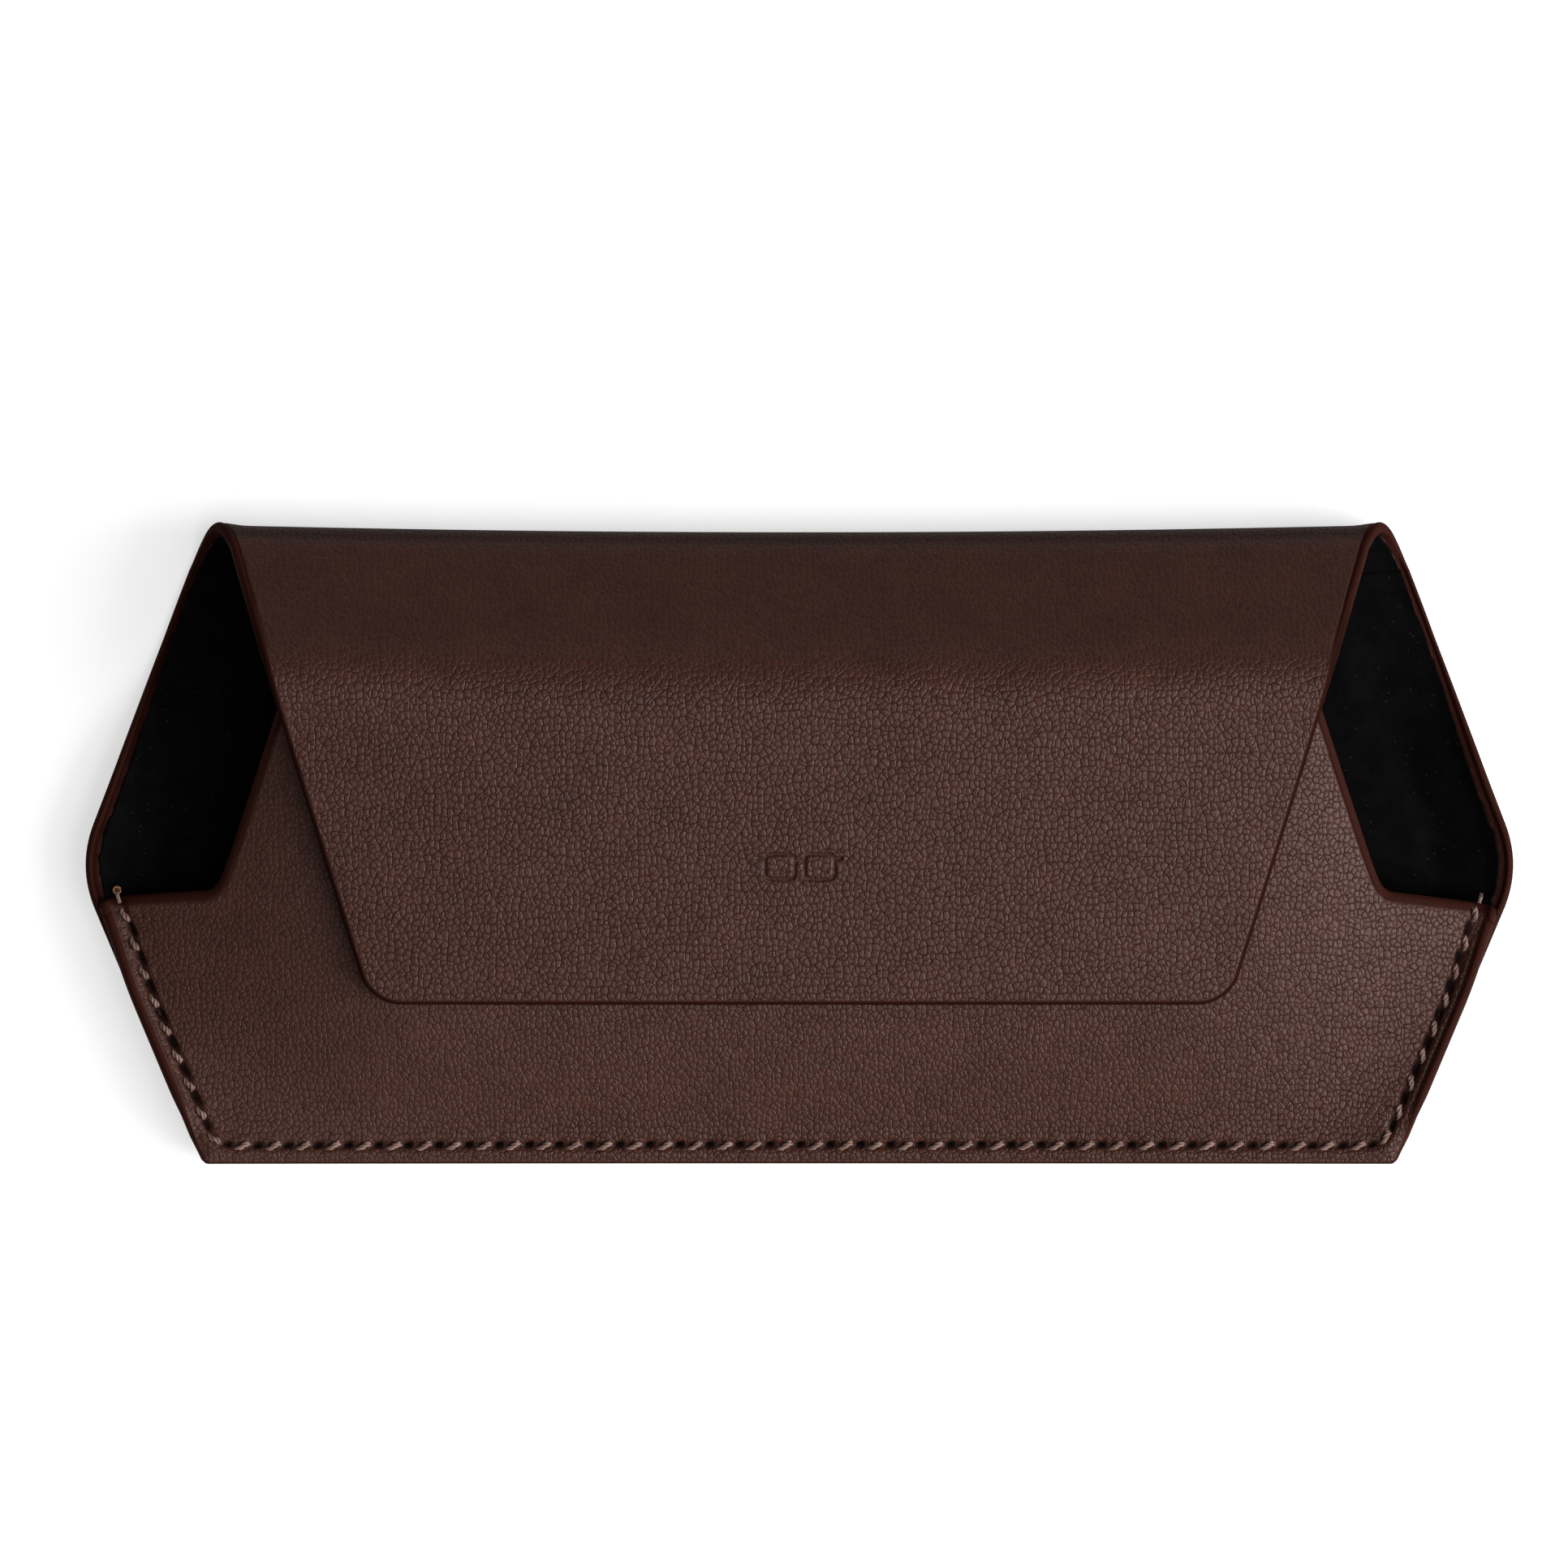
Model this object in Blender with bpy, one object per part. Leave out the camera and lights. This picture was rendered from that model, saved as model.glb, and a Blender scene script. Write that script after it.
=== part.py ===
"""Soft envelope case for spectacles, lying on its back with the flap closed.

+X runs along the fold, +Y from the sewn bottom edge towards the fold, +Z up out of the
table. The case lies on the table plane z = 0. Lengths below are in millimetres, with y
counted from the sewn bottom edge, and every mesh is written in metres with the middle of
the plan at the origin.

One leather cover runs up the back, round the fold and down over the front as the flap. A
second leather panel, the pocket, is sewn to the back along two slanted sides and the
bottom and has a free mouth with a raised tongue. Board stiffens the flat panels, a thin
lining faces the inside, and disc magnets hold the flap down.
"""

import math

import bmesh
import bpy
from mathutils import Matrix, Vector

MM = 0.001

# Outline of the cover, as half-widths either side of x = 0
BOTTOM_HALF = 69.1  # half-width at the sewn bottom edge
LOWER_SLANT = 0.419  # half-width gained for each mm above the bottom edge
WIDEST_Y = 34.3  # height of the widest corner above the bottom edge
UPPER_SLANT = 0.382  # half-width lost for each mm from the widest corner to the fold
CORNER_BLEND = 5.0  # half length of the rounded widest corner

# Fold and flap, seen along X
FOLD_Y = 67.8  # centre of the fold arc
FOLD_R = 5.5  # radius of the fold at the leather's outer face
FOLD_TURN = 148.0  # degrees the cover turns through at the fold
SLOPE_LEN = 14.0  # straight run from the fold up to the ridge
RIDGE_R = 9.0  # radius of the ridge
RIDGE_TURN = 42.4  # degrees the cover turns through at the ridge
FLAP_LEN = 34.1  # straight run from the ridge to the flap's edge

# Pocket panel
MOUTH_Y = 31.7  # height of the mouth at the foot of the tongue
MOUTH_DROP = 1.9  # how much lower the mouth is at its outer corners
TONGUE_U = 0.832  # share of the half-width where the tongue starts
TONGUE_TOP = 57.0
TONGUE_SLANT = 0.385  # half-width lost for each mm up the tongue
SEAM_STACK = 2.89  # height of the pocket's outer face over the back's at the seam

# Layers, measured inwards from the leather's outer face
COVER_T = 0.80
LAYER_GAP = 0.12
BOARD_T = 0.90
LINING_T = 0.40
RIM_REACH = 11.0  # the back panel's edge curls up over this width

# Magnets
MAGNET_R = 4.0
MAGNET_T = 0.80
MAGNET_HOLE_R = 4.3
MAGNET_U = 0.375
MAGNET_Y = 26.6

# Joints along the fold, on the leather's outer face
JOINTS = 2
JOINT_GAP = 0.40
JOINT_STEP = FOLD_TURN / JOINTS

# Thread
THREAD_R = 0.25
THREAD_SIDES = 6
SEAM_INSET = 2.6
SEAM_BOTTOM = 2.0

FOLD_LEN = FOLD_R * math.radians(FOLD_TURN)
RIDGE_LEN = RIDGE_R * math.radians(RIDGE_TURN)
S_FOLD = FOLD_Y
S_SLOPE = S_FOLD + FOLD_LEN
S_RIDGE = S_SLOPE + SLOPE_LEN
S_FLAP = S_RIDGE + RIDGE_LEN
S_TIP = S_FLAP + FLAP_LEN
PLAN_CENTRE_Y = (FOLD_Y + FOLD_R) / 2  # this point of the layout becomes the origin


def smooth(t):
    t = min(1.0, max(0.0, t))
    return t * t * (3 - 2 * t)


def joint_s(k):
    """Distance along the cover of fold joint k, counted from 1."""
    return S_FOLD + FOLD_R * math.radians((k - 0.5) * JOINT_STEP)


def cover_half(s):
    """Half-width of the cover at distance s from its bottom edge."""
    if s <= S_SLOPE:
        t = s - WIDEST_Y
        a, b, h = LOWER_SLANT, -UPPER_SLANT, CORNER_BLEND
        peak = BOTTOM_HALF + LOWER_SLANT * WIDEST_Y
        if t < -h:
            half = peak + a * t
        elif t > h:
            half = peak + b * t
        else:
            half = peak - (a - b) * h / 4 + (a + b) / 2 * t - (a - b) / (4 * h) * t * t
        return half - 0.4 * (1 - smooth(s / 1.2))
    t = s - S_SLOPE
    half = cover_half(S_SLOPE) - 0.27 * t - 0.00035 * t * t
    return half - 3.2 * smooth((s - (S_TIP - 2.6)) / 2.6)


def cover_line(s):
    """(y, z, heading) of the cover's outer face at distance s."""
    if s <= S_FOLD:
        return s, 0.0, 0.0
    if s <= S_SLOPE:
        a = (s - S_FOLD) / FOLD_R
        return FOLD_Y + FOLD_R * math.sin(a), FOLD_R * (1 - math.cos(a)), a
    turn = math.radians(FOLD_TURN)
    y = FOLD_Y + FOLD_R * math.sin(turn)
    z = FOLD_R * (1 - math.cos(turn))
    run = min(s, S_RIDGE) - S_SLOPE
    y += run * math.cos(turn)
    z += run * math.sin(turn)
    if s <= S_RIDGE:
        return y, z, turn
    a = turn + (min(s, S_FLAP) - S_RIDGE) / RIDGE_R
    y += RIDGE_R * (math.sin(a) - math.sin(turn))
    z -= RIDGE_R * (math.cos(a) - math.cos(turn))
    if s > S_FLAP:
        y += (s - S_FLAP) * math.cos(a)
        z += (s - S_FLAP) * math.sin(a)
    return y, z, a


def rim_lift(x, y, half):
    """How far the back panel's edge has curled up off the table."""
    inset = min(half - abs(x), y)
    height = 1.15 + 1.75 * (x / 82.0) ** 2
    fade = 1 - smooth((y - 44.0) / 16.0)
    return height * fade * (1 - smooth(inset / RIM_REACH))


def cover_point(s, u):
    half = cover_half(s)
    y, z, _ = cover_line(s)
    x = u * half
    if s <= S_FOLD:
        z += rim_lift(x, y, half)
    return Vector((x, y, z))


def cover_frame(s, u):
    """Point on the cover's outer face and the direction into the case."""
    e = 0.05
    du = cover_point(s, min(1, u + 0.002)) - cover_point(s, max(-1, u - 0.002))
    lo, hi = max(0.0, s - e), min(S_TIP, s + e)
    centre = Vector((0, *cover_line(lo)[:2])), Vector((0, *cover_line(hi)[:2]))
    if s <= S_FOLD - e:
        x = u * cover_half(s)
        ds = Vector(
            (
                0,
                hi - lo,
                rim_lift(x, hi, cover_half(hi)) - rim_lift(x, lo, cover_half(lo)),
            )
        )
    else:
        ds = centre[1] - centre[0]
    return cover_point(s, u), du.cross(ds).normalized()


def flap_under(y):
    """Height of the flap's inner face over the plan position y."""
    depth = COVER_T + BOARD_T + LINING_T + 2 * LAYER_GAP
    tip_y, tip_z, heading = cover_line(S_TIP)
    top_y = cover_line(S_FLAP)[0]
    over = tip_z + (y - tip_y) * math.tan(heading) - depth / abs(math.cos(heading))
    if y > top_y:
        over -= 0.055 * (y - top_y) ** 2
    return over


def pocket_half(y):
    if y <= MOUTH_Y:
        return cover_half(y) - 0.3 - 0.9 * smooth((y - 18.0) / 13.0)
    start = pocket_half(MOUTH_Y) * TONGUE_U
    half = start - TONGUE_SLANT * (y - MOUTH_Y)
    half -= 2.2 * smooth((y - (TONGUE_TOP - 4.0)) / 4.0)
    return half / TONGUE_U


def pocket_height(x, y):
    """Height of the pocket's outer face."""
    side = cover_half(min(y, MOUTH_Y)) - SEAM_INSET
    inset = max(0.0, side - abs(x))
    share = math.sin(math.pi / 2 * min(1.0, inset / 40.0) ** 0.8)
    rise = 1 - math.exp(-((max(0.0, y - SEAM_BOTTOM) / 7.5) ** 1.3))
    rim = rim_lift(x, min(y, MOUTH_Y), cover_half(min(y, MOUTH_Y)))
    base = rim + SEAM_STACK
    return base + (flap_under(y) - 0.45 - base) * rise * share


def pocket_point(y, u):
    if y <= MOUTH_Y:
        drop = max(0.0, (abs(u) - TONGUE_U) / (1 - TONGUE_U))
        near = smooth((y - (MOUTH_Y - 6.0)) / 6.0)
        x = u * pocket_half(y)
        y -= MOUTH_DROP * drop * near
    else:
        x = u * pocket_half(y)
    return Vector((x, y, pocket_height(x, y)))


def pocket_frame(y, u):
    """Point on the pocket's outer face and the direction into the case."""
    p = pocket_point(y, u)
    e = 0.4
    dx = pocket_height(p.x + e, p.y) - pocket_height(p.x - e, p.y)
    dy = pocket_height(p.x, p.y + e) - pocket_height(p.x, max(0, p.y - e))
    n = Vector((dx / (2 * e), dy / (2 * e), -1.0))
    if abs(u) > 0.95 or y < SEAM_BOTTOM + 0.6:
        # over the seam the layers are pressed flat on the back panel
        _, back = cover_frame(min(y, MOUTH_Y), u)
        n = -back
    return p, n.normalized()


def clear_scene():
    for obj in list(bpy.data.objects):
        bpy.data.objects.remove(obj, do_unlink=True)


def material(name, color, roughness, metallic=0.0):
    mat = bpy.data.materials.new(name)
    mat.use_nodes = True
    mat.diffuse_color = (*color, 1.0)
    bsdf = mat.node_tree.nodes["Principled BSDF"]
    bsdf.inputs["Base Color"].default_value = (*color, 1.0)
    bsdf.inputs["Roughness"].default_value = roughness
    bsdf.inputs["Metallic"].default_value = metallic
    return mat


def finish(name, bm, mat, origin=Vector((0, 0, 0)), sharp=35.0):
    """Turns a bmesh in millimetres into an object whose origin is `origin`."""
    bmesh.ops.recalc_face_normals(bm, faces=bm.faces)
    if bm.calc_volume(signed=True) < 0:
        bmesh.ops.reverse_faces(bm, faces=bm.faces)
    bmesh.ops.translate(bm, verts=bm.verts, vec=-origin)
    bmesh.ops.scale(bm, verts=bm.verts, vec=(MM, MM, MM))
    mesh = bpy.data.meshes.new(name)
    bm.to_mesh(mesh)
    bm.free()
    for poly in mesh.polygons:
        poly.use_smooth = True
    mesh.set_sharp_from_angle(angle=math.radians(sharp))
    mesh.materials.append(mat)
    obj = bpy.data.objects.new(name, mesh)
    obj.location = (origin + Vector((0, -PLAN_CENTRE_Y, 0))) * MM
    bpy.context.scene.collection.objects.link(obj)
    return obj


def sheet(name, rows, cols, frame, depth, thick, mat, keep=None, origin=Vector((0, 0, 0))):
    """A thin closed sheet that follows a surface.

    rows and cols are the surface's parameters, frame gives (point, inward direction),
    depth(i, j) is how far inside the surface the sheet's outer face lies and keep(i, j)
    says whether the cell from row i and column j belongs to the sheet.
    """
    bm = bmesh.new()
    outer, inner = {}, {}

    def corner(i, j):
        if (i, j) not in outer:
            p, n = frame(rows[i], cols[j])
            d = depth(i, j)
            outer[i, j] = bm.verts.new(p + n * d)
            inner[i, j] = bm.verts.new(p + n * (d + thick))
        return (i, j)

    cells = [
        (i, j)
        for i in range(len(rows) - 1)
        for j in range(len(cols) - 1)
        if keep is None or keep(i, j)
    ]
    edges = {}
    for i, j in cells:
        ring = [corner(i, j), corner(i, j + 1), corner(i + 1, j + 1), corner(i + 1, j)]
        flip = cols[j] + cols[j + 1] < 0
        # the diagonals mirror across x = 0
        order = [1, 2, 3, 0] if flip else [0, 1, 2, 3]
        r = [ring[k] for k in order]
        for tri in ((r[0], r[1], r[2]), (r[0], r[2], r[3])):
            bm.faces.new([outer[c] for c in tri])
            bm.faces.new([inner[c] for c in reversed(tri)])
        for a, b in zip(ring, ring[1:] + ring[:1]):
            edges[a, b] = edges.get((a, b), 0) + 1
    for a, b in list(edges):
        if (b, a) not in edges:
            bm.faces.new((outer[b], outer[a], inner[a], inner[b]))
    return finish(name, bm, mat, origin)


def disc(name, centre, axis, radius, thick, mat, origin=Vector((0, 0, 0)), sides=24):
    bm = bmesh.new()
    bmesh.ops.create_cone(
        bm, cap_ends=True, segments=sides, radius1=radius, radius2=radius, depth=thick
    )
    turn = Vector((0, 0, 1)).rotation_difference(axis).to_matrix().to_4x4()
    bmesh.ops.transform(bm, matrix=Matrix.Translation(centre) @ turn, verts=bm.verts)
    return finish(name, bm, mat, origin, sharp=30.0)


def bore(target, name, centre, axis, radius):
    """Cuts a round hole through target."""
    cutter = disc(name, centre, axis, radius, 6.0, target.data.materials[0])
    cutter.hide_render = True
    cutter.display_type = "WIRE"
    mod = target.modifiers.new(name, "BOOLEAN")
    mod.operation = "DIFFERENCE"
    mod.solver = "EXACT"
    mod.object = cutter


def cord(name, points, mat):
    """A closed round cord through the points."""
    bm = bmesh.new()
    rings = []
    for k, p in enumerate(points):
        ahead = points[min(k + 1, len(points) - 1)] - points[max(k - 1, 0)]
        ahead.normalize()
        side = ahead.cross(Vector((0, 0, 1))).normalized()
        up = side.cross(ahead)
        rings.append(
            [
                bm.verts.new(
                    p
                    + side * THREAD_R * math.cos(2 * math.pi * q / THREAD_SIDES)
                    + up * THREAD_R * math.sin(2 * math.pi * q / THREAD_SIDES)
                )
                for q in range(THREAD_SIDES)
            ]
        )
    for a, b in zip(rings, rings[1:]):
        for q in range(THREAD_SIDES):
            r = (q + 1) % THREAD_SIDES
            bm.faces.new((a[q], a[r], b[r], b[q]))
    bm.faces.new(list(reversed(rings[0])))
    bm.faces.new(rings[-1])
    return finish(name, bm, mat)


def seam_plan():
    """Plan positions of the stitch line, from the left mouth corner to the right."""
    top = MOUTH_Y - 2.6
    side = []
    steps = 9
    for k in range(steps):
        y = top + (SEAM_BOTTOM + 2.2 - top) * k / (steps - 1)
        side.append((cover_half(y) - SEAM_INSET - 0.2, y))
    foot = side[-1][0] - 1.6
    bottom = [(foot * (1 - 2 * k / 14), SEAM_BOTTOM) for k in range(15)]
    return [(-x, y) for x, y in side] + [(-x, y) for x, y in bottom] + side[::-1]


clear_scene()

leather = (0.0648, 0.0331, 0.0262)
leather_dark = (0.0423, 0.0176, 0.0130)
suede = (0.0040, 0.0036, 0.0034)
board_grey = (0.250, 0.225, 0.190)
nickel = (0.560, 0.540, 0.510)
thread_brown = (0.165, 0.105, 0.085)

BOARD_U = TONGUE_U
U = [0, 0.15, 0.30, 0.45, 0.60, 0.72, TONGUE_U, 0.905, 0.965, 1.0]
COLS = [-u for u in reversed(U[1:])] + U
BACK_ROWS = [0, SEAM_BOTTOM + 0.5, 7.5, 13, 21.5, MOUTH_Y, WIDEST_Y, 40, 48, 57, 63, S_FOLD]
BACK_ROWS += [S_FOLD + 1.2, S_FOLD + 2.3, joint_s(1) - JOINT_GAP / 2]
BOARD_BACK = (13, 57)
POCKET_ROWS = [0, SEAM_BOTTOM + 0.5, 7.5, 13, 21.5, MOUTH_Y, 37, 43, 50, TONGUE_TOP - 2, TONGUE_TOP]
FLAP_U = [0, 0.18, 0.36, 0.62, 0.80, 0.93, 1.0]
FLAP_COLS = [-u for u in reversed(FLAP_U[1:])] + FLAP_U
FLAP_ROWS = [
    joint_s(JOINTS) + JOINT_GAP / 2,
    S_SLOPE - 2.2,
    S_SLOPE - 1.1,
    S_SLOPE,
    S_SLOPE + 4.5,
    S_RIDGE,
    S_RIDGE + RIDGE_LEN / 2,
    S_FLAP,
    S_FLAP + 14.0,
    S_TIP - 14.5,
    S_TIP - 3.0,
    S_TIP - 2.6,
    S_TIP,
]
BOARD_FLAP = (S_SLOPE + 4.5, S_TIP - 3.0)
LINING_D = COVER_T + LAYER_GAP
BOARD_EXTRA = BOARD_T + LAYER_GAP


def inset(rows, cols, share=0.0, low=0.0, high=0.0):
    """Surface parameters drawn in at the edges, for a layer cut smaller than the cover."""
    r = list(rows)
    r[0] += low
    r[-1] -= high
    c = list(cols)
    c[0] += share
    c[-1] -= share
    return r, c


def board_depth(rows, cols, span, edge_u):
    """Depth of the lining: it steps in where there is board under it."""

    def depth(i, j):
        inside = span[0] - 1e-6 <= rows[i] <= span[1] + 1e-6 and abs(cols[j]) <= edge_u + 1e-6
        return LINING_D + (BOARD_EXTRA if inside else 0.0)

    return depth


def board_keep(rows, cols, span, edge_u):
    def keep(i, j):
        return (
            rows[i] >= span[0] - 1e-6
            and rows[i + 1] <= span[1] + 1e-6
            and abs(cols[j]) <= edge_u + 1e-6
            and abs(cols[j + 1]) <= edge_u + 1e-6
        )

    return keep


def flat(depth):
    return lambda i, j: depth


# Back panel
sheet("back_cover", BACK_ROWS, COLS, cover_frame, flat(0.0), COVER_T,
      material("back_leather", leather, 0.52))
sheet("back_board", BACK_ROWS, COLS, cover_frame, flat(LINING_D), BOARD_T,
      material("back_board_card", board_grey, 0.85),
      keep=board_keep(BACK_ROWS, COLS, BOARD_BACK, BOARD_U))
rows, cols = inset(BACK_ROWS, COLS, share=0.012, low=0.9)
sheet("back_lining", rows, cols, cover_frame,
      board_depth(BACK_ROWS, COLS, BOARD_BACK, BOARD_U), LINING_T,
      material("back_suede", suede, 0.95))

# Pocket panel with its tongue
def pocket_keep(i, j):
    return POCKET_ROWS[i + 1] <= MOUTH_Y + 1e-6 or (
        abs(COLS[j]) <= TONGUE_U + 1e-6 and abs(COLS[j + 1]) <= TONGUE_U + 1e-6
    )


POCKET_BOARD = (13, TONGUE_TOP - 2)
POCKET_BOARD_U = 0.72


def pocket_board_keep(i, j):
    return board_keep(POCKET_ROWS, COLS, POCKET_BOARD, POCKET_BOARD_U)(i, j)


sheet("pocket_cover", POCKET_ROWS, COLS, pocket_frame, flat(0.0), COVER_T,
      material("pocket_leather", leather, 0.50), keep=pocket_keep)
pocket_board = sheet("pocket_board", POCKET_ROWS, COLS, pocket_frame, flat(LINING_D), BOARD_T,
                     material("pocket_board_card", board_grey, 0.85), keep=pocket_board_keep)
rows, cols = inset(POCKET_ROWS, COLS, share=0.012, low=0.9)
sheet("pocket_lining", rows, cols, pocket_frame,
      board_depth(POCKET_ROWS, COLS, POCKET_BOARD, POCKET_BOARD_U), LINING_T,
      material("pocket_suede", suede, 0.95), keep=pocket_keep)

# Fold: the strip of leather and of lining between the two joints
low, high = joint_s(1) + JOINT_GAP / 2, joint_s(2) - JOINT_GAP / 2
rows = [low + (high - low) * k / 6 for k in range(7)]
y, z, _ = cover_line(joint_s(1))
fold_axis = Vector((0, y, z))
sheet("fold_cover", rows, FLAP_COLS, cover_frame, flat(0.0), COVER_T,
      material("fold_leather", leather_dark, 0.55), origin=fold_axis)
_, cols = inset(rows, FLAP_COLS, share=0.012)
sheet("fold_lining", rows, cols, cover_frame, flat(LINING_D), LINING_T,
      material("fold_suede", suede, 0.95), origin=fold_axis)

# Flap
y, z, _ = cover_line(joint_s(JOINTS))
flap_axis = Vector((0, y, z))
sheet("flap_cover", FLAP_ROWS, FLAP_COLS, cover_frame, flat(0.0), COVER_T,
      material("flap_leather", leather, 0.50), origin=flap_axis)
flap_board = sheet("flap_board", FLAP_ROWS, FLAP_COLS, cover_frame, flat(LINING_D), BOARD_T,
                   material("flap_board_card", board_grey, 0.85),
                   keep=board_keep(FLAP_ROWS, FLAP_COLS, BOARD_FLAP, 0.93), origin=flap_axis)
rows, cols = inset(FLAP_ROWS, FLAP_COLS, share=0.012, high=0.9)
sheet("flap_lining", rows, cols, cover_frame,
      board_depth(FLAP_ROWS, FLAP_COLS, BOARD_FLAP, 0.93), LINING_T,
      material("flap_suede", suede, 0.95), origin=flap_axis)

# Magnets: one pair on each side, in round holes in the boards
magnet_x = MAGNET_U * pocket_half(MAGNET_Y)
tip_y, tip_z, heading = cover_line(S_TIP)
magnet_s = S_TIP - (MAGNET_Y - tip_y) / abs(math.cos(heading))
for side, sign in (("left", -1), ("right", 1)):
    middle = LINING_D + BOARD_T / 2
    y, z, a = cover_line(magnet_s)
    inward = Vector((0, -math.sin(a), math.cos(a)))
    at = Vector((sign * magnet_x, y, z)) + inward * middle
    bore(flap_board, f"flap_hole_{side}", at, inward, MAGNET_HOLE_R)
    disc(f"flap_magnet_{side}", at, inward, MAGNET_R, MAGNET_T,
         material(f"flap_nickel_{side}", nickel, 0.28, 1.0), origin=flap_axis)
    # the pocket's magnet lies in one flat cell of the board
    low, high = 21.5, MOUTH_Y
    cell = [pocket_frame(r, sign * c) for r in (low, high) for c in (0.30, 0.45)]
    at = sum((p for p, _ in cell), Vector()) / 4
    normal = (cell[3][0] - cell[0][0]).cross(cell[2][0] - cell[1][0]).normalized()
    if normal.z > 0:
        normal = -normal
    shift = sum(((p + n * middle) for p, n in cell), Vector()) / 4
    bore(pocket_board, f"pocket_hole_{side}", shift, normal, MAGNET_HOLE_R)
    disc(f"pocket_magnet_{side}", shift, normal, MAGNET_R, MAGNET_T,
         material(f"pocket_nickel_{side}", nickel, 0.28, 1.0))

# Lockstitch seam: the needle thread lies on the pocket, the bobbin thread on the back
needle, bobbin = [], []
for x, y in seam_plan():
    rim = rim_lift(x, y, cover_half(y))
    top = pocket_height(x, y)
    needle.append(Vector((x, y, top + 0.25 + THREAD_R)))
    bobbin.append(Vector((x, y, rim - 0.28 - THREAD_R)))
cord("seam_needle_thread", needle, material("needle_thread", thread_brown, 0.60))
cord("seam_bobbin_thread", bobbin, material("bobbin_thread", thread_brown, 0.60))
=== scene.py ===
"""Looks of the soft leather spectacles case. Lengths are in millimetres in the maths and in
metres in the meshes; the frame is the CAD model's own."""

import math

import bpy
import numpy as np
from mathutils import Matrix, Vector


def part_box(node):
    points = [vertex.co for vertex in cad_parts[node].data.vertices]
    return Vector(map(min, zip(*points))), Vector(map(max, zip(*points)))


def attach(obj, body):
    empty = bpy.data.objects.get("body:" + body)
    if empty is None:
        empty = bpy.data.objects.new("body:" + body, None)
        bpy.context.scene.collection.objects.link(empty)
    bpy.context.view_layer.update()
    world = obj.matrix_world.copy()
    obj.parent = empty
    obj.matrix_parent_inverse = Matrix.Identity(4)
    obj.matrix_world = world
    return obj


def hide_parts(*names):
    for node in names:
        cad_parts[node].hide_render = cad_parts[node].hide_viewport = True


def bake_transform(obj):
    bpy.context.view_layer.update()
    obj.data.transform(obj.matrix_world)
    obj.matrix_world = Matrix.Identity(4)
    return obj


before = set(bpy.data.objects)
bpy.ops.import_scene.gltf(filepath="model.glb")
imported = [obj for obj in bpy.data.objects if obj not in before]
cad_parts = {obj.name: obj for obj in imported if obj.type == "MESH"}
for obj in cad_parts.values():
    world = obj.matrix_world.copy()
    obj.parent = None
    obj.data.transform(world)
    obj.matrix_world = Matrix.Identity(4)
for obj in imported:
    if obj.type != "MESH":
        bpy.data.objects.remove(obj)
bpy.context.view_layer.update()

MM = 0.001
rng = np.random.default_rng(7)

# ---------------------------------------------------------------- the case's own measures
Y0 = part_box("back_cover")[0].y / MM  # row y of the sewn bottom edge
BOTTOM_HALF, LOWER_SLANT, WIDEST_Y, UPPER_SLANT, CORNER_BLEND = 69.1, 0.419, 34.3, 0.382, 5.0
FOLD_Y, FOLD_R, FOLD_TURN = 67.8, 5.5, math.radians(148.0)
SLOPE_LEN, RIDGE_R, RIDGE_TURN, FLAP_LEN = 14.0, 9.0, math.radians(42.4), 34.55
MOUTH_Y, MOUTH_DROP, TONGUE_TOP = 31.7, 1.9, 57.0
SEAM_STACK = 2.89
S_FOLD = FOLD_Y
S_SLOPE = S_FOLD + FOLD_R * FOLD_TURN
S_RIDGE = S_SLOPE + SLOPE_LEN
S_FLAP = S_RIDGE + RIDGE_R * RIDGE_TURN
S_TIP = S_FLAP + FLAP_LEN
S_MID = S_FOLD + FOLD_R * FOLD_TURN / 2


def smooth(t):
    t = np.clip(t, 0.0, 1.0)
    return t * t * (3 - 2 * t)


def cover_half(s):
    s = np.asarray(s, float)
    low = np.minimum(s, S_SLOPE)
    t = low - WIDEST_Y
    a, b, h = LOWER_SLANT, -UPPER_SLANT, CORNER_BLEND
    peak = BOTTOM_HALF + LOWER_SLANT * WIDEST_Y
    corner = peak - (a - b) * h / 4 + (a + b) / 2 * t - (a - b) / (4 * h) * t * t
    half = np.where(t < -h, peak + a * t, np.where(t > h, peak + b * t, corner))
    half = half - 0.20 * (1 - np.clip(low / 3.2, 0, 1)) - 0.25 * (1 - smooth(low / 0.6)) ** 2
    t = np.maximum(0, s - S_SLOPE)
    half = half - 0.27 * t - 0.00035 * t * t
    # rounded corners at the flap's edge
    c = np.clip((s - (S_TIP - 3.4)) / 3.4, 0, 1)
    return half - 3.6 * (1 - np.sqrt(1 - 0.998 * c * c))


def cover_line(s):
    """(y, z, heading) of the leather's outer face at the middle of the case."""
    s = np.asarray(s, float)
    a = np.clip((s - S_FOLD) / FOLD_R, 0, FOLD_TURN)
    y = np.minimum(s, S_FOLD) + FOLD_R * np.sin(a)
    z = FOLD_R * (1 - np.cos(a))
    run = np.clip(s - S_SLOPE, 0, SLOPE_LEN)
    y = y + run * math.cos(FOLD_TURN)
    z = z + run * math.sin(FOLD_TURN)
    b = np.clip((s - S_RIDGE) / RIDGE_R, 0, RIDGE_TURN)
    y = y + RIDGE_R * (np.sin(FOLD_TURN + b) - math.sin(FOLD_TURN))
    z = z - RIDGE_R * (np.cos(FOLD_TURN + b) - math.cos(FOLD_TURN))
    last = np.clip(s - S_FLAP, 0, None)
    end = FOLD_TURN + RIDGE_TURN
    return y + last * math.cos(end), z + last * math.sin(end), a + b


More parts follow.
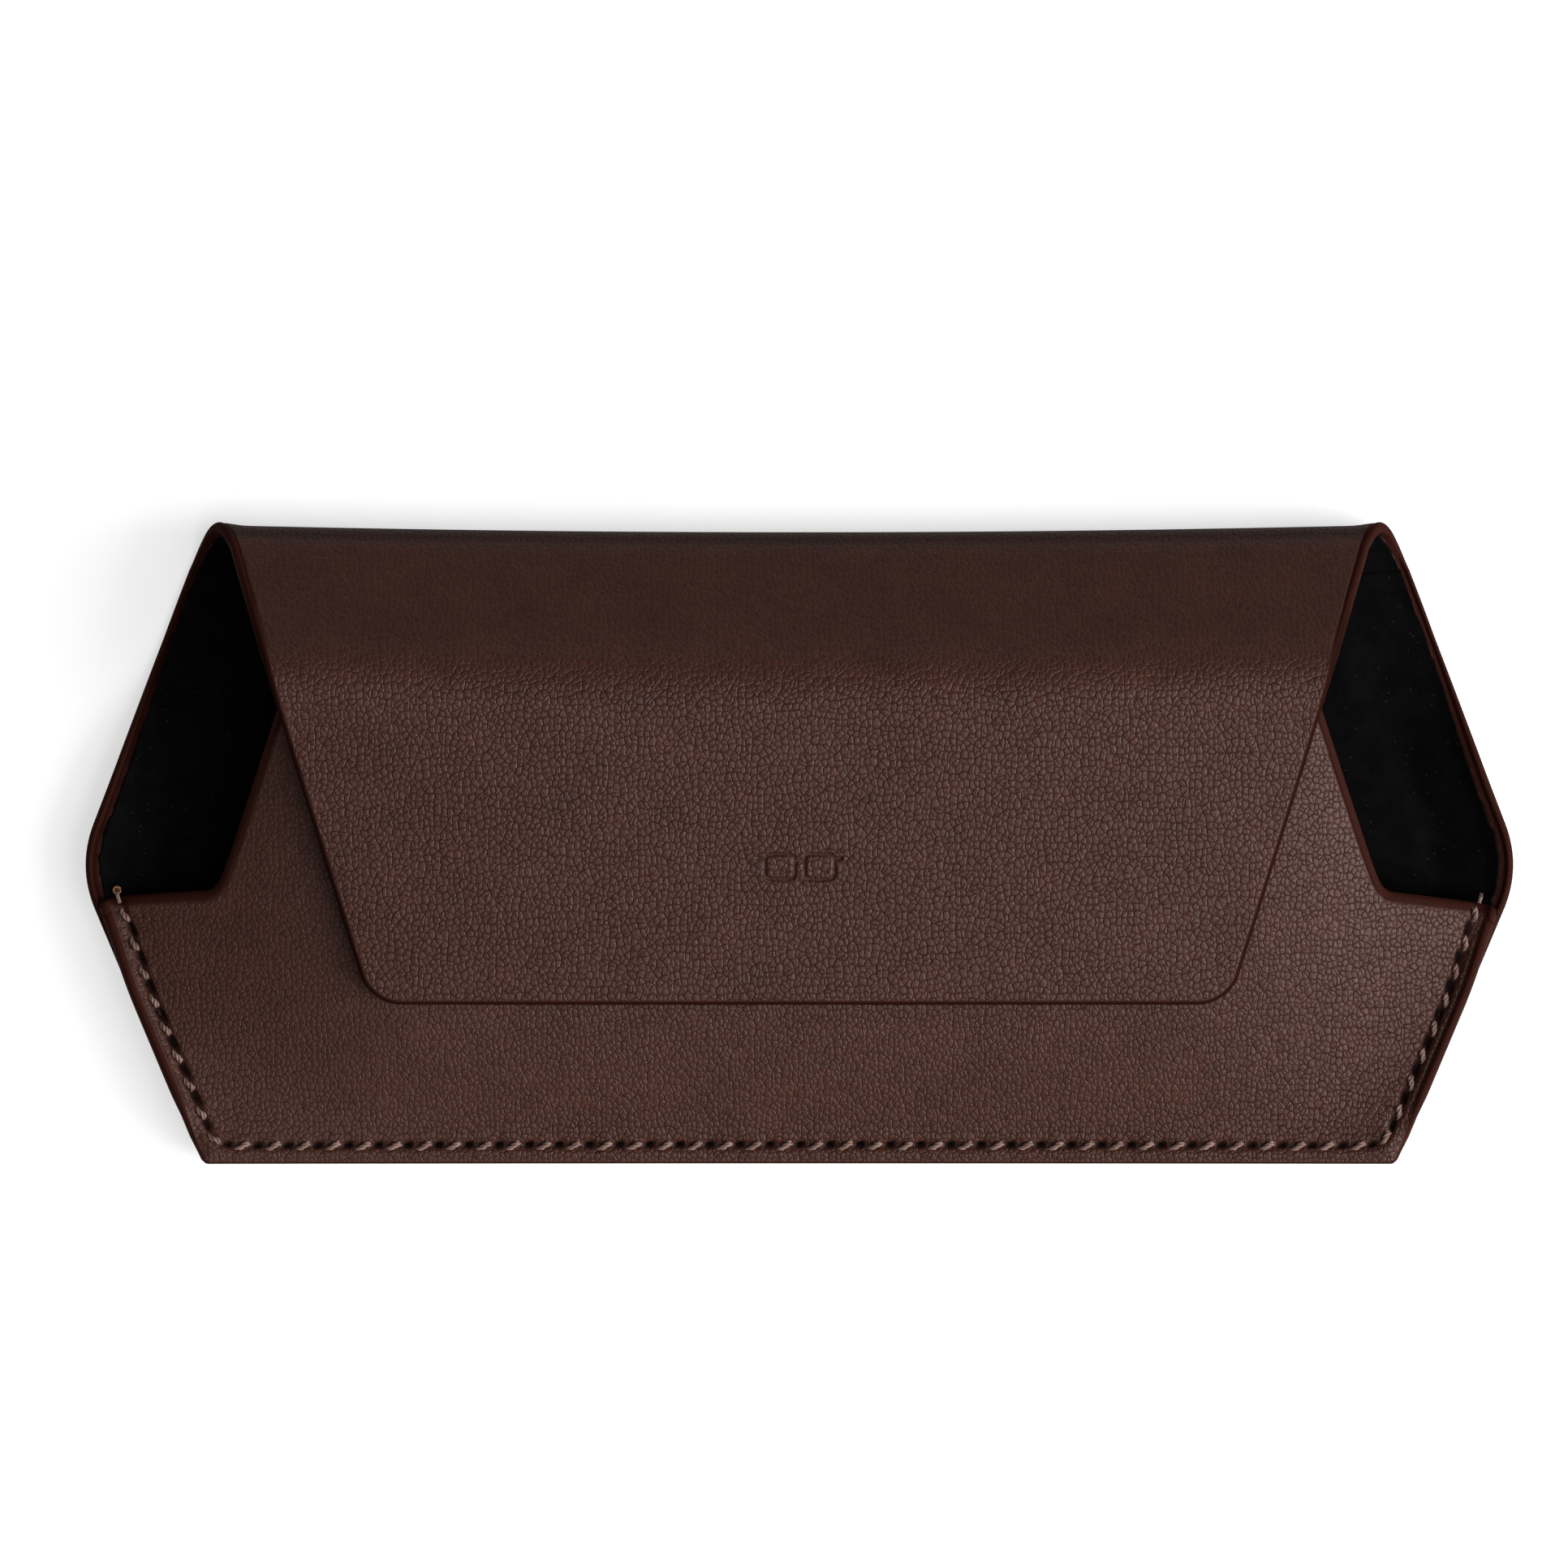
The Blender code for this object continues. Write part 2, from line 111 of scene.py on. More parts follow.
def rim_lift(x, y, half, slow=1.0):
    soft = 1.8
    a, b = (half - np.abs(x)) / soft, np.asarray(y, float) / soft
    low = np.minimum(a, b)
    inset = soft * (low - np.log1p(np.exp(-np.abs(a - b))) * smooth((low + 0.2) / 1.2))
    inset = np.where(inset > 3.0, 3.0 + (inset - 3.0) * slow, inset)
    height = 1.15 + 1.75 * (x / 82.0) ** 2
    fade = 1 - smooth((y - 44.0) / 16.0)
    # outside the seam the edge curls up a little more
    side = half - np.abs(x)
    ramp = np.clip((2.75 - side) / 2.75, 0, 1)
    curl = 0.62 * (0.35 * ramp**2 + 0.65 * smooth(ramp)) * smooth((y - 1.5) / 7.0)
    return height * fade * (1 - smooth(inset / 11.0)) + curl * fade


def ripple(x, y):
    """Slow, slight unevenness of a soft panel."""
    return (
        0.10 * np.sin(x * 0.071 + 1.3) * np.cos(y * 0.093 + 0.4)
        + 0.06 * np.sin(x * 0.153 + 0.2 * y + 2.1)
        + 0.03 * np.sin(x * 0.31 - 0.27 * y)
    )


def cover_at(s, x):
    """Outer face of the one leather sheet: back, fold and flap."""
    s, x = np.broadcast_arrays(np.asarray(s, float), np.asarray(x, float))
    y, z, _ = cover_line(s)
    half = cover_half(s)
    lift = rim_lift(x, s, half) * (s <= S_FOLD)
    # the fold line is drawn in a little at the middle and flares at its ends
    near = smooth((s - 46.0) / 20.0) * (1 - smooth((s - S_SLOPE - 4.0) / 22.0))
    y = y + near * (-0.42 + 0.80 * (x / 66.0) ** 2 + 0.30 * smooth((np.abs(x) - 63.5) / 3.5))
    # the flap's free part sinks a little towards its corners
    on_flap = smooth((s - S_RIDGE) / 12.0)
    z = z - on_flap * 0.95 * np.clip(np.abs(x) / 52.0, 0, 1.1) ** 3
    z = z + 0.5 * ripple(x, s) * on_flap
    return np.stack([x, y, z + lift], -1)


def flap_under(y):
    depth = 0.80 + 0.90 + 0.40 + 0.24
    tip_y, tip_z, _ = cover_line(S_TIP)
    heading = FOLD_TURN + RIDGE_TURN
    top_y = cover_line(S_FLAP)[0]
    over = tip_z + (y - tip_y) * math.tan(heading) - depth / abs(math.cos(heading))
    return over - 0.055 * np.maximum(0, y - top_y) ** 2


def pocket_edge_half(y):
    return cover_half(np.minimum(y, MOUTH_Y)) - 0.3 - 0.9 * smooth((y - 18.0) / 13.0)


def pocket_height(x, y):
    yy = np.minimum(y, MOUTH_Y)
    half = cover_half(yy)
    inset = np.maximum(0.0, half - 2.6 - np.abs(x))
    share = np.sin(math.pi / 2 * np.minimum(1.0, inset / 34.0) ** 0.82)
    rise = 1 - np.exp(-((np.maximum(0.0, y - 2.0) / 7.5) ** 1.3))
    base = rim_lift(x, yy, half, 0.38) + SEAM_STACK
    return base + (flap_under(y) - 0.45 - base) * rise * share


def pocket_at(y, x):
    y, x = np.broadcast_arrays(np.asarray(y, float), np.asarray(x, float))
    bulge = smooth((y - 6.0) / 10.0) * smooth((pocket_edge_half(y) - 6 - np.abs(x)) / 12.0)
    dip = 0.35 * smooth((np.abs(x) - 60) / 14.0) * smooth((y - 18) / 8.0)
    return np.stack([x, y, pocket_height(x, y) - dip * bulge], -1)


def normals_of(at, p, x, into):
    """Unit normals pointing into the case."""
    e = 0.05
    dp = at(p + e, x) - at(p - e, x)
    dx = at(p, x + e) - at(p, x - e)
    n = np.cross(dx, dp)
    n /= np.linalg.norm(n, axis=-1, keepdims=True)
    return n * into


# ---------------------------------------------------------------- distances to an outline
def far(points, line):
    """Distance of every plan point to a dense polyline."""
    a, b = line[:-1], line[1:]
    ab = b - a
    ll = np.maximum((ab**2).sum(1), 1e-12)
    out = np.empty(len(points))
    step = max(1, int(6e6 // len(a)))
    for k in range(0, len(points), step):
        q = points[k : k + step, None, :] - a[None]
        t = np.clip((q * ab[None]).sum(-1) / ll, 0, 1)
        out[k : k + step] = np.sqrt(((q - t[..., None] * ab[None]) ** 2).sum(-1).min(1))
    return out


def noise1(t, seed, scale):
    """Smooth one-dimensional noise, -1 to 1."""
    u = np.asarray(t, float) / scale + 1000.0 + seed * 37.7
    i = np.floor(u).astype(int)
    f = u - i
    f = f * f * (3 - 2 * f)

    def h(k):
        v = np.sin(k * 127.1 + seed * 311.7) * 43758.5453
        return 2 * (v - np.floor(v)) - 1

    return h(i) * (1 - f) + h(i + 1) * f


# ---------------------------------------------------------------- building a thin panel
def panel(name, top, bottom, keep=None, attrs=None, coarse=6, close=True, rows_b=None, cols_b=None):
    """A closed thin panel from two grids of points (rows, columns, 3) in millimetres.

    The underside is meshed coarsely; its border matches the fine upper side.
    """
    R, C = top.shape[:2]
    cells = np.ones((R - 1, C - 1), bool) if keep is None else keep
    used = np.zeros((R, C), bool)
    for di in (0, 1):
        for dj in (0, 1):
            used[di : R - 1 + di, dj : C - 1 + dj] |= cells
    index = -np.ones((R, C), int)
    index[used] = np.arange(used.sum())
    verts = [top[used]]
    i, j = np.nonzero(cells)
    quads = np.stack([index[i, j], index[i, j + 1], index[i + 1, j + 1], index[i + 1, j]], 1)
    faces = [tuple(int(v) for v in q) for q in quads]
    n = int(used.sum())
    low = {}
    extra = []

    def under(a, b):
        if (a, b) not in low:
            low[a, b] = n + len(extra)
            extra.append(bottom[a, b])
        return low[a, b]

    if close:
        rows = sorted(set(range(0, R - 1, coarse)) | {R - 1} if rows_b is None else set(rows_b) | {0, R - 1})
        cols = sorted(set(range(0, C - 1, coarse)) | {C - 1} if cols_b is None else set(cols_b) | {0, C - 1})
        for a, a2 in zip(rows, rows[1:]):
            for b, b2 in zip(cols, cols[1:]):
                path = []
                on_top, on_bottom = a == 0, a2 == R - 1
                on_left, on_right = b == 0, b2 == C - 1
                path += [(a, k) for k in (range(b, b2) if on_top else [b])]
                path += [(k, b2) for k in (range(a, a2) if on_right else [a])]
                path += [(a2, k) for k in (range(b2, b, -1) if on_bottom else [b2])]
                path += [(k, b) for k in (range(a2, a, -1) if on_left else [a2])]
                faces.append(tuple(under(*p) for p in reversed(path)))
        ring = [(0, k) for k in range(C - 1)] + [(k, C - 1) for k in range(R - 1)]
        ring += [(R - 1, k) for k in range(C - 1, 0, -1)] + [(k, 0) for k in range(R - 1, 0, -1)]
        for p, q in zip(ring, ring[1:] + ring[:1]):
            faces.append((int(index[q]), int(index[p]), under(*p), under(*q)))
    pts = np.concatenate(verts + ([np.array(extra)] if extra else []))
    pts = pts + np.array([0, Y0, 0])
    mesh = bpy.data.meshes.new(name)
    mesh.from_pydata((pts * MM).tolist(), [], faces)
    mesh.validate()
    mesh.update()
    mesh.shade_smooth()
    for key, value in (attrs or {}).items():
        value = np.asarray(value, np.float32)
        if value.ndim == 3:
            flat = value[used]
            more = np.array([value[p] for p in low], np.float32).reshape(-1, 3)
            data = np.concatenate([flat, more])
            att = mesh.attributes.new(key, "FLOAT_VECTOR", "POINT")
            att.data.foreach_set("vector", data.ravel())
        else:
            data = np.concatenate([value[used], np.array([value[p] for p in low], np.float32)])
            att = mesh.attributes.new(key, "FLOAT", "POINT")
            att.data.foreach_set("value", data.astype(np.float32))
    obj = bpy.data.objects.new(name, mesh)
    bpy.context.scene.collection.objects.link(obj)
    return obj


def matte_faces(obj):
    """Painted edges have a duller finish than the grained leather."""
    mesh = obj.data
    level = np.zeros(len(mesh.vertices), np.float32)
    mesh.attributes["band"].data.foreach_get("value", level)
    corner = np.zeros(len(mesh.loops), np.int32)
    mesh.loops.foreach_get("vertex_index", corner)
    start = np.zeros(len(mesh.polygons), np.int32)
    count = np.zeros(len(mesh.polygons), np.int32)
    mesh.polygons.foreach_get("loop_start", start)
    mesh.polygons.foreach_get("loop_total", count)
    share = np.add.reduceat(level[corner], start) / count
    mesh.materials.append(MAT["leather"])
    mesh.materials.append(MAT["leather_edge"])
    mesh.polygons.foreach_set("material_index", (share > 0.5).astype(np.int32))


def orient(obj, outward_up=True):
    """Faces look outwards, judged by the signed volume."""
    me = obj.data
    me.calc_loop_triangles()
    co = np.zeros(len(me.vertices) * 3, np.float32)
    me.vertices.foreach_get("co", co)
    co = co.reshape(-1, 3)
    tri = np.zeros(len(me.loop_triangles) * 3, np.int32)
    me.loop_triangles.foreach_get("vertices", tri)
    tri = tri.reshape(-1, 3)
    c = co.mean(0)
    vol = np.einsum("ij,ij->i", co[tri[:, 0]] - c, np.cross(co[tri[:, 1]] - c, co[tri[:, 2]] - c)).sum()
    if vol < 0:
        me.flip_normals()
    return obj


# ---------------------------------------------------------------- materials
class Nodes:
    def __init__(self, name):
        self.mat = bpy.data.materials.new(name)
        self.mat.use_nodes = True
        self.tree = self.mat.node_tree
        self.bsdf = self.tree.nodes["Principled BSDF"]

    def new(self, kind, **settings):
        node = self.tree.nodes.new(kind)
        for key, value in settings.items():
            setattr(node, key, value)
        return node

    def link(self, a, b):
        self.tree.links.new(a, b)

    def set(self, socket, value):
        if hasattr(value, "links"):
            self.link(value, socket)
        else:
            socket.default_value = value

    def math(self, op, a, b=None, c=None, clamp=False):
        node = self.new("ShaderNodeMath", operation=op, use_clamp=clamp)
        for k, v in enumerate((a, b, c)):
            if v is not None:
                self.set(node.inputs[k], v)
        return node.outputs[0]

    def vmath(self, op, a, b=None, scale=None):
        node = self.new("ShaderNodeVectorMath", operation=op)
        self.set(node.inputs[0], a)
        if b is not None:
            self.set(node.inputs[1], b)
        if scale is not None:
            self.set(node.inputs["Scale"], scale)
        return node.outputs[0]

    def attr(self, name, vector=False):
        node = self.new("ShaderNodeAttribute", attribute_name=name)
        return node.outputs["Vector" if vector else "Fac"]

    def noise(self, vec, scale, detail=2.0, rough=0.5, color=False):
        node = self.new("ShaderNodeTexNoise", noise_dimensions="3D")
        self.link(vec, node.inputs["Vector"])
        node.inputs["Scale"].default_value = scale
        node.inputs["Detail"].default_value = detail
        node.inputs["Roughness"].default_value = rough
        return node.outputs["Color" if color else "Fac"]

    def voronoi(self, vec, scale, feature="F1", randomness=1.0, out="Distance", smoothness=None):
        node = self.new("ShaderNodeTexVoronoi", voronoi_dimensions="2D", feature=feature)
        self.link(vec, node.inputs["Vector"])
        self.set(node.inputs["Scale"], scale)
        node.inputs["Randomness"].default_value = randomness
        if smoothness is not None:
            node.inputs["Smoothness"].default_value = smoothness
        return node.outputs[out]

    def range(self, value, a, b, c=0.0, d=1.0, kind="SMOOTHSTEP"):
        node = self.new("ShaderNodeMapRange", interpolation_type=kind)
        self.set(node.inputs["Value"], value)
        for key, v in (("From Min", a), ("From Max", b), ("To Min", c), ("To Max", d)):
            self.set(node.inputs[key], v)
        return node.outputs["Result"]

    def mix(self, fac, a, b):
        node = self.new("ShaderNodeMix", data_type="RGBA")
        self.set(node.inputs[0], fac)
        self.set(node.inputs[6], a)
        self.set(node.inputs[7], b)
        return node.outputs[2]

    def bump(self, height, distance, strength=1.0, normal=None):
        node = self.new("ShaderNodeBump")
        node.inputs["Strength"].default_value = strength
        node.inputs["Distance"].default_value = distance
        self.link(height, node.inputs["Height"])
        if normal is not None:
            self.link(normal, node.inputs["Normal"])
        return node.outputs[0]


def rgb(r, g, b):
    """sRGB 0-255 to linear."""
    def lin(c):
        c /= 255.0
        return c / 12.92 if c <= 0.04045 else ((c + 0.055) / 1.055) ** 2.4

    return (lin(r), lin(g), lin(b), 1.0)


def leather(name, base=(67, 38, 30), deep=(26, 8, 4), edge=(42, 15, 9), grain=1.0, gloss=0.20):
    n = Nodes(name)
    pat = n.attr("pat", vector=True)
    band = n.attr("band")
    pit_and_shade = n.attr("pit_and_shade")
    press_and_shade = n.attr("press_and_shade")
    calm_and_shade = n.attr("calm_and_shade")
    # the pebbles wander and stretch a little
    warp = n.vmath("SUBTRACT", n.noise(pat, 0.55, 3.0, 0.55, color=True), (0.5, 0.5, 0.5))
    where = n.vmath("ADD", pat, n.vmath("SCALE", warp, scale=0.9))
    jitter = n.vmath("SUBTRACT", n.noise(pat, 2.6, 2.0, 0.6, color=True), (0.5, 0.5, 0.5))
    where = n.vmath("ADD", where, n.vmath("SCALE", jitter, scale=0.20))
    where = n.vmath("MULTIPLY", where, (1.10, 0.94, 1.0))
    size = 1.48
    edge_d = n.voronoi(where, size, "DISTANCE_TO_EDGE", 0.90)
    cell = n.voronoi(where, size, "F1", 0.90, out="Color")
    dome = n.voronoi(where, size, "SMOOTH_F1", 0.90, smoothness=0.22)
    where2 = n.vmath("ADD", where, (7.3, 2.1, 0.0))
    edge2 = n.voronoi(where2, 2.7, "DISTANCE_TO_EDGE", 0.95)
    patch = n.noise(pat, 0.16, 2.0, 0.5)
    plain = n.math("SUBTRACT", n.math("SUBTRACT", 1.0, band), n.math("MULTIPLY", pit_and_shade, 1.4), clamp=True)
    depth = n.range(n.noise(pat, 0.8, 1.0), 0.30, 0.62, 0.40, 1.0)
    depth = n.math("MULTIPLY", depth, n.math("MULTIPLY_ADD", calm_and_shade, -0.42, 1.0))
    depth = n.math("MAXIMUM", depth, n.math("MULTIPLY", press_and_shade, 1.15))
    crack = n.math("MULTIPLY", n.math("SUBTRACT", 1.0, n.range(edge_d, 0.0, 0.115)), depth)
    crack2 = n.math("SUBTRACT", 1.0, n.range(edge2, 0.0, 0.11))
    crack2 = n.math("MULTIPLY", crack2, n.range(n.noise(pat, 1.1, 2.0), 0.44, 0.60, 0.05, 0.7))
    both = n.math("MULTIPLY", n.math("MAXIMUM", crack, n.math("MULTIPLY", crack2, 0.34)), plain)
    # height of the grain: rounded pebbles with smaller ones on them
    pores = n.noise(pat, 3.5, 3.0, 0.55)
    pillow = n.math("POWER", n.range(edge_d, 0.0, 0.24, kind="SMOOTHERSTEP"), 0.62)
    dome = n.math("MULTIPLY", dome, dome)
    pillow2 = n.range(edge2, 0.0, 0.36)
    h = n.math("MULTIPLY", pillow, n.math("MULTIPLY_ADD", depth, 0.30, 0.16))
    h = n.math("ADD", h, n.math("MULTIPLY", pillow2, 0.09))
    h = n.math("ADD", h, n.math("MULTIPLY", dome, -0.95))
    h = n.math("ADD", h, n.math("MULTIPLY", both, -0.12))
    h = n.math("MULTIPLY", h, n.math("MULTIPLY", plain, n.math("MULTIPLY_ADD", calm_and_shade, -0.45, 1.0)))
    h = n.math("ADD", h, n.math("MULTIPLY", pores, n.math("MULTIPLY_ADD", plain, 0.36, 0.04)))
    normal = n.bump(h, 0.000105 * grain)
    wrinkle = n.noise(n.vmath("MULTIPLY", pat, (1.0, 0.5, 1.0)), 1.3, 3.0, 0.6)
    normal = n.bump(wrinkle, 0.00020, strength=0.22, normal=normal)
    n.link(normal, n.bsdf.inputs["Normal"])
    # colour
    tone = n.range(patch, 0.3, 0.7, 0.90, 1.10, kind="LINEAR")
    sep = n.new("ShaderNodeSeparateColor")
    n.link(cell, sep.inputs[0])
    tone = n.math("MULTIPLY", tone, n.range(sep.outputs[0], 0.0, 1.0, 0.90, 1.12, kind="LINEAR"))
    tone = n.math("MULTIPLY", tone, n.range(pores, 0.3, 0.7, 0.93, 1.08, kind="LINEAR"))
    hsv = n.new("ShaderNodeHueSaturation")
    n.link(tone, hsv.inputs["Value"])
    hsv.inputs["Color"].default_value = rgb(*base)
    # painted shade: over the fold's round top, which turns away from the light, the colour is darkened; the grain
    # there is also pressed into deeper cracks
    color = n.mix(n.math("MULTIPLY", press_and_shade, 0.60), hsv.outputs[0], rgb(*deep))
    # painted shade: calm_and_shade darkens the colour where the flap's slope turns away from the light, and a little
    # over the pocket's left part; it also calms the grain there
    color = n.mix(n.math("MULTIPLY", n.math("MULTIPLY", calm_and_shade, calm_and_shade), 0.27), color, rgb(*deep))
    # the grain's cracks are darker: partly the leather's own colour in them, partly painted shade
    color = n.mix(n.math("MULTIPLY", both, 0.62), color, rgb(*deep))
    color = n.mix(n.math("MULTIPLY", band, 0.92), color, rgb(*edge))
    # painted shade: needle holes, grooves, creases and the debossed strokes take a near-black brown; along the flap's
    # free edge this is partly the edge paint and partly a painted shadow
    color = n.mix(pit_and_shade, color, rgb(16, 4, 2))
    n.link(color, n.bsdf.inputs["Base Color"])
    rough = n.math("MULTIPLY_ADD", both, 0.30, 0.35)
    rough = n.math("MULTIPLY_ADD", press_and_shade, 0.45, rough)
    rough = n.math("MULTIPLY_ADD", calm_and_shade, 0.10, rough)
    rough = n.math("ADD", rough, n.range(pores, 0.2, 0.8, -0.05, 0.07, kind="LINEAR"))
    rough = n.math("MULTIPLY_ADD", band, 0.34, rough)
    rough = n.math("MULTIPLY_ADD", pit_and_shade, 0.5, rough, clamp=True)
    n.link(rough, n.bsdf.inputs["Roughness"])
    n.bsdf.inputs["Specular IOR Level"].default_value = gloss
    return n.mat


def suede(name):
    n = Nodes(name)
    pat = n.attr("pat", vector=True)
    nap = n.noise(pat, 7.0, 4.0, 0.7)
    soft = n.noise(pat, 0.35, 3.0, 0.55)
    lint = n.voronoi(pat, 0.62, "F1")
    speck = n.math("SUBTRACT", 1.0, n.range(lint, 0.035, 0.075))
    keep = n.range(n.noise(pat, 0.4, 1.0), 0.5, 0.62)
    speck = n.math("MULTIPLY", speck, keep)
    color = n.mix(n.range(soft, 0.35, 0.7), rgb(3, 3, 3), rgb(8, 7, 7))
    color = n.mix(n.math("MULTIPLY", speck, 0.55), color, rgb(52, 50, 48))
    n.link(color, n.bsdf.inputs["Base Color"])
    n.link(n.bump(nap, 0.00012, 0.8), n.bsdf.inputs["Normal"])
    n.link(n.range(nap, 0.2, 0.8, 0.86, 0.98, kind="LINEAR"), n.bsdf.inputs["Roughness"])
    n.bsdf.inputs["Specular IOR Level"].default_value = 0.06
    return n.mat


def thread_material(name):
    n = Nodes(name)
    pat = n.attr("ply", vector=True)
    fibre = n.noise(n.vmath("MULTIPLY", pat, (9.0, 40.0, 40.0)), 1.0, 2.0, 0.6)
    tone = n.noise(pat, 0.5, 2.0)
    color = n.mix(n.range(fibre, 0.3, 0.7), rgb(96, 70, 62), rgb(150, 122, 112))
    color = n.mix(n.range(tone, 0.35, 0.65, 0.0, 0.45), color, rgb(84, 58, 50))
    sep = n.new("ShaderNodeSeparateXYZ")
    n.link(pat, sep.inputs[0])
    color = n.mix(n.range(sep.outputs[2], 25.0, 30.0, kind="LINEAR"), color, rgb(118, 78, 40))
    n.link(color, n.bsdf.inputs["Base Color"])
    n.link(n.bump(fibre, 0.00003, 0.8), n.bsdf.inputs["Normal"])
    n.link(n.range(fibre, 0.2, 0.8, 0.48, 0.66, kind="LINEAR"), n.bsdf.inputs["Roughness"])
    n.bsdf.inputs["Specular IOR Level"].default_value = 0.4
    return n.mat


def object_coords(n, scale):
    tex = n.new("ShaderNodeTexCoord")
    return n.vmath("SCALE", tex.outputs["Object"], scale=scale)


def board_material(name):
    n = Nodes(name)
    c = object_coords(n, 1000.0)
    pulp = n.noise(c, 1.4, 5.0, 0.65)
    speck = n.voronoi(c, 0.5, "F1")
    color = n.mix(n.range(pulp, 0.3, 0.7), rgb(128, 118, 102), rgb(156, 146, 128))
    color = n.mix(n.math("MULTIPLY", n.math("SUBTRACT", 1.0, n.range(speck, 0.03, 0.09)), 0.5), color, rgb(84, 74, 62))
    n.link(color, n.bsdf.inputs["Base Color"])
    n.link(n.bump(pulp, 0.00008), n.bsdf.inputs["Normal"])
    n.link(n.range(pulp, 0.2, 0.8, 0.78, 0.92, kind="LINEAR"), n.bsdf.inputs["Roughness"])
    return n.mat


def nickel_material(name):
    n = Nodes(name)
    c = object_coords(n, 1000.0)
    scuff = n.noise(n.vmath("MULTIPLY", c, (1.0, 6.0, 1.0)), 1.2, 4.0, 0.6)
    color = n.mix(n.range(scuff, 0.3, 0.75), rgb(196, 192, 184), rgb(168, 162, 152))
    n.link(color, n.bsdf.inputs["Base Color"])
    n.link(n.range(scuff, 0.2, 0.8, 0.20, 0.42, kind="LINEAR"), n.bsdf.inputs["Roughness"])
    n.link(n.bump(scuff, 0.00002), n.bsdf.inputs["Normal"])
    n.bsdf.inputs["Metallic"].default_value = 1.0
    return n.mat


MAT = {
    "leather": leather("brown_leather"),
    "leather_edge": leather("brown_leather_edge", gloss=0.04),
    "suede": suede("black_suede"),
    "thread": thread_material("brown_thread"),
    "board": board_material("stiffening_board"),
    "nickel": nickel_material("nickel_magnet"),
}

# ---------------------------------------------------------------- grid lines
EDGE = np.array([0, 0.05, 0.11, 0.19, 0.29, 0.40, 0.50, 0.58, 0.66, 0.76, 0.90, 1.06, 1.18, 1.30, 1.45, 1.7, 2.1])


def lines(lo, hi, step):
    return np.linspace(lo, hi, max(2, int(round((hi - lo) / step)) + 1))


MID_MARK = np.concatenate([lines(-1.0, -0.115, 0.0078)[:-1], lines(-0.115, 0.115, 0.0026), lines(0.115, 1.0, 0.0078)[1:]])
MID_PLAIN = lines(-1.0, 1.0, 0.0088)


def cover_columns(s, MID):
    """x of every grid column at the rows s: fixed distances from the edges, even between."""
    half = cover_half(s)[:, None]
    inner = half - EDGE[-1]
    left = -half + EDGE[None, :-1]
    return np.concatenate([left, MID[None, :] * inner, -left[:, ::-1]], 1)


def edge_drop(d, r):
    """How far a rounded edge of radius r falls away at distance d from the outline."""
    q = np.clip(d, 0, r)
    return r - np.sqrt(np.maximum(0, r * r - (r - q) ** 2))


# outline of the cover in its flat pattern, for distances to the edge
dense_s = np.concatenate([lines(0, 3, 0.08), lines(3.1, S_TIP - 4, 0.35), lines(S_TIP - 3.95, S_TIP, 0.05)])
side = np.stack([cover_half(dense_s), dense_s], 1)
COVER_OUTLINE = np.concatenate([side, side[::-1] * np.array([-1, 1]), side[:1]])


def cover_distance(s, x):
    return far(np.stack([np.abs(x).ravel(), s.ravel()], 1), COVER_OUTLINE[: len(side) + 2]).reshape(x.shape) if False else np.minimum(
        far(np.stack([x.ravel(), s.ravel()], 1), COVER_OUTLINE).reshape(x.shape), 30.0
    )


# ---------------------------------------------------------------- the generic debossed mark
def mark_distance(x, y):
    """Distance to the strokes of a small outline of a pair of spectacles."""
    def ring(cx):
        # rounded square lens
        qx = np.abs(x - cx) - 0.95
        qy = np.abs(y + 0.1) - 0.70
        out = np.hypot(np.maximum(qx, 0), np.maximum(qy, 0)) + np.minimum(np.maximum(qx, qy), 0) - 0.75
        return np.abs(out)

    d = np.minimum(ring(-2.25), ring(2.25))
    # bridge, an arc
    br = np.hypot(x, y - 0.05)
    bridge = np.where(y > 0.05, np.abs(br - 0.58), np.hypot(np.abs(x) - 0.58, y - 0.05))
    d = np.minimum(d, bridge)
    # short temples
    for sx in (-1, 1):
        t = np.clip((x * sx - 3.95) / 0.75, 0, 1)
        d = np.minimum(d, np.hypot(x * sx - (3.95 + 0.75 * t), y - 0.75 - 0.15 * t))
    return d


MARK_S = S_TIP - 16.3

# ---------------------------------------------------------------- stitches
STITCH_PITCH = 3.45


def seam_path():
    """Points of the stitch line in plan, left mouth corner to right mouth corner."""
    top = MOUTH_Y - 1.3
    ys = np.linspace(top, 4.4, 160)
    left = np.stack([-(pocket_edge_half(ys) - 2.2), ys], 1)
    a = left[-1]
    end = np.array([-(abs(a[0]) - 3.2), 2.05])
    t = np.linspace(0, 1, 30)[1:, None]
    knee = np.array([a[0] + 0.42 * 2.2, 2.15])
    curve = (1 - t) ** 2 * a + 2 * t * (1 - t) * knee + t**2 * end
    bottom = np.stack([np.linspace(end[0], 0, 300)[1:], np.full(299, 2.05)], 1)
    half = np.concatenate([left, curve, bottom])
    other = half[::-1][1:] * np.array([-1, 1])
    return np.concatenate([half, other])


SEAM = seam_path()
seg = np.linalg.norm(np.diff(SEAM, axis=0), axis=1)
SEAM_S = np.concatenate([[0], np.cumsum(seg)])
COUNT = int(round(SEAM_S[-1] / STITCH_PITCH))
PITCH = SEAM_S[-1] / COUNT
STITCH_AT = (np.arange(COUNT) + 0.5) * PITCH + rng.normal(0, 0.05, COUNT)
HOLE_AT = np.arange(1, COUNT) * PITCH


def seam_point(s):
    x = np.interp(s, SEAM_S, SEAM[:, 0])
    y = np.interp(s, SEAM_S, SEAM[:, 1])
    e = 0.3
    dx = np.interp(s + e, SEAM_S, SEAM[:, 0]) - np.interp(s - e, SEAM_S, SEAM[:, 0])
    dy = np.interp(s + e, SEAM_S, SEAM[:, 1]) - np.interp(s - e, SEAM_S, SEAM[:, 1])
    l = np.hypot(dx, dy)
    return np.stack([x, y], -1), np.stack([dx / l, dy / l], -1)


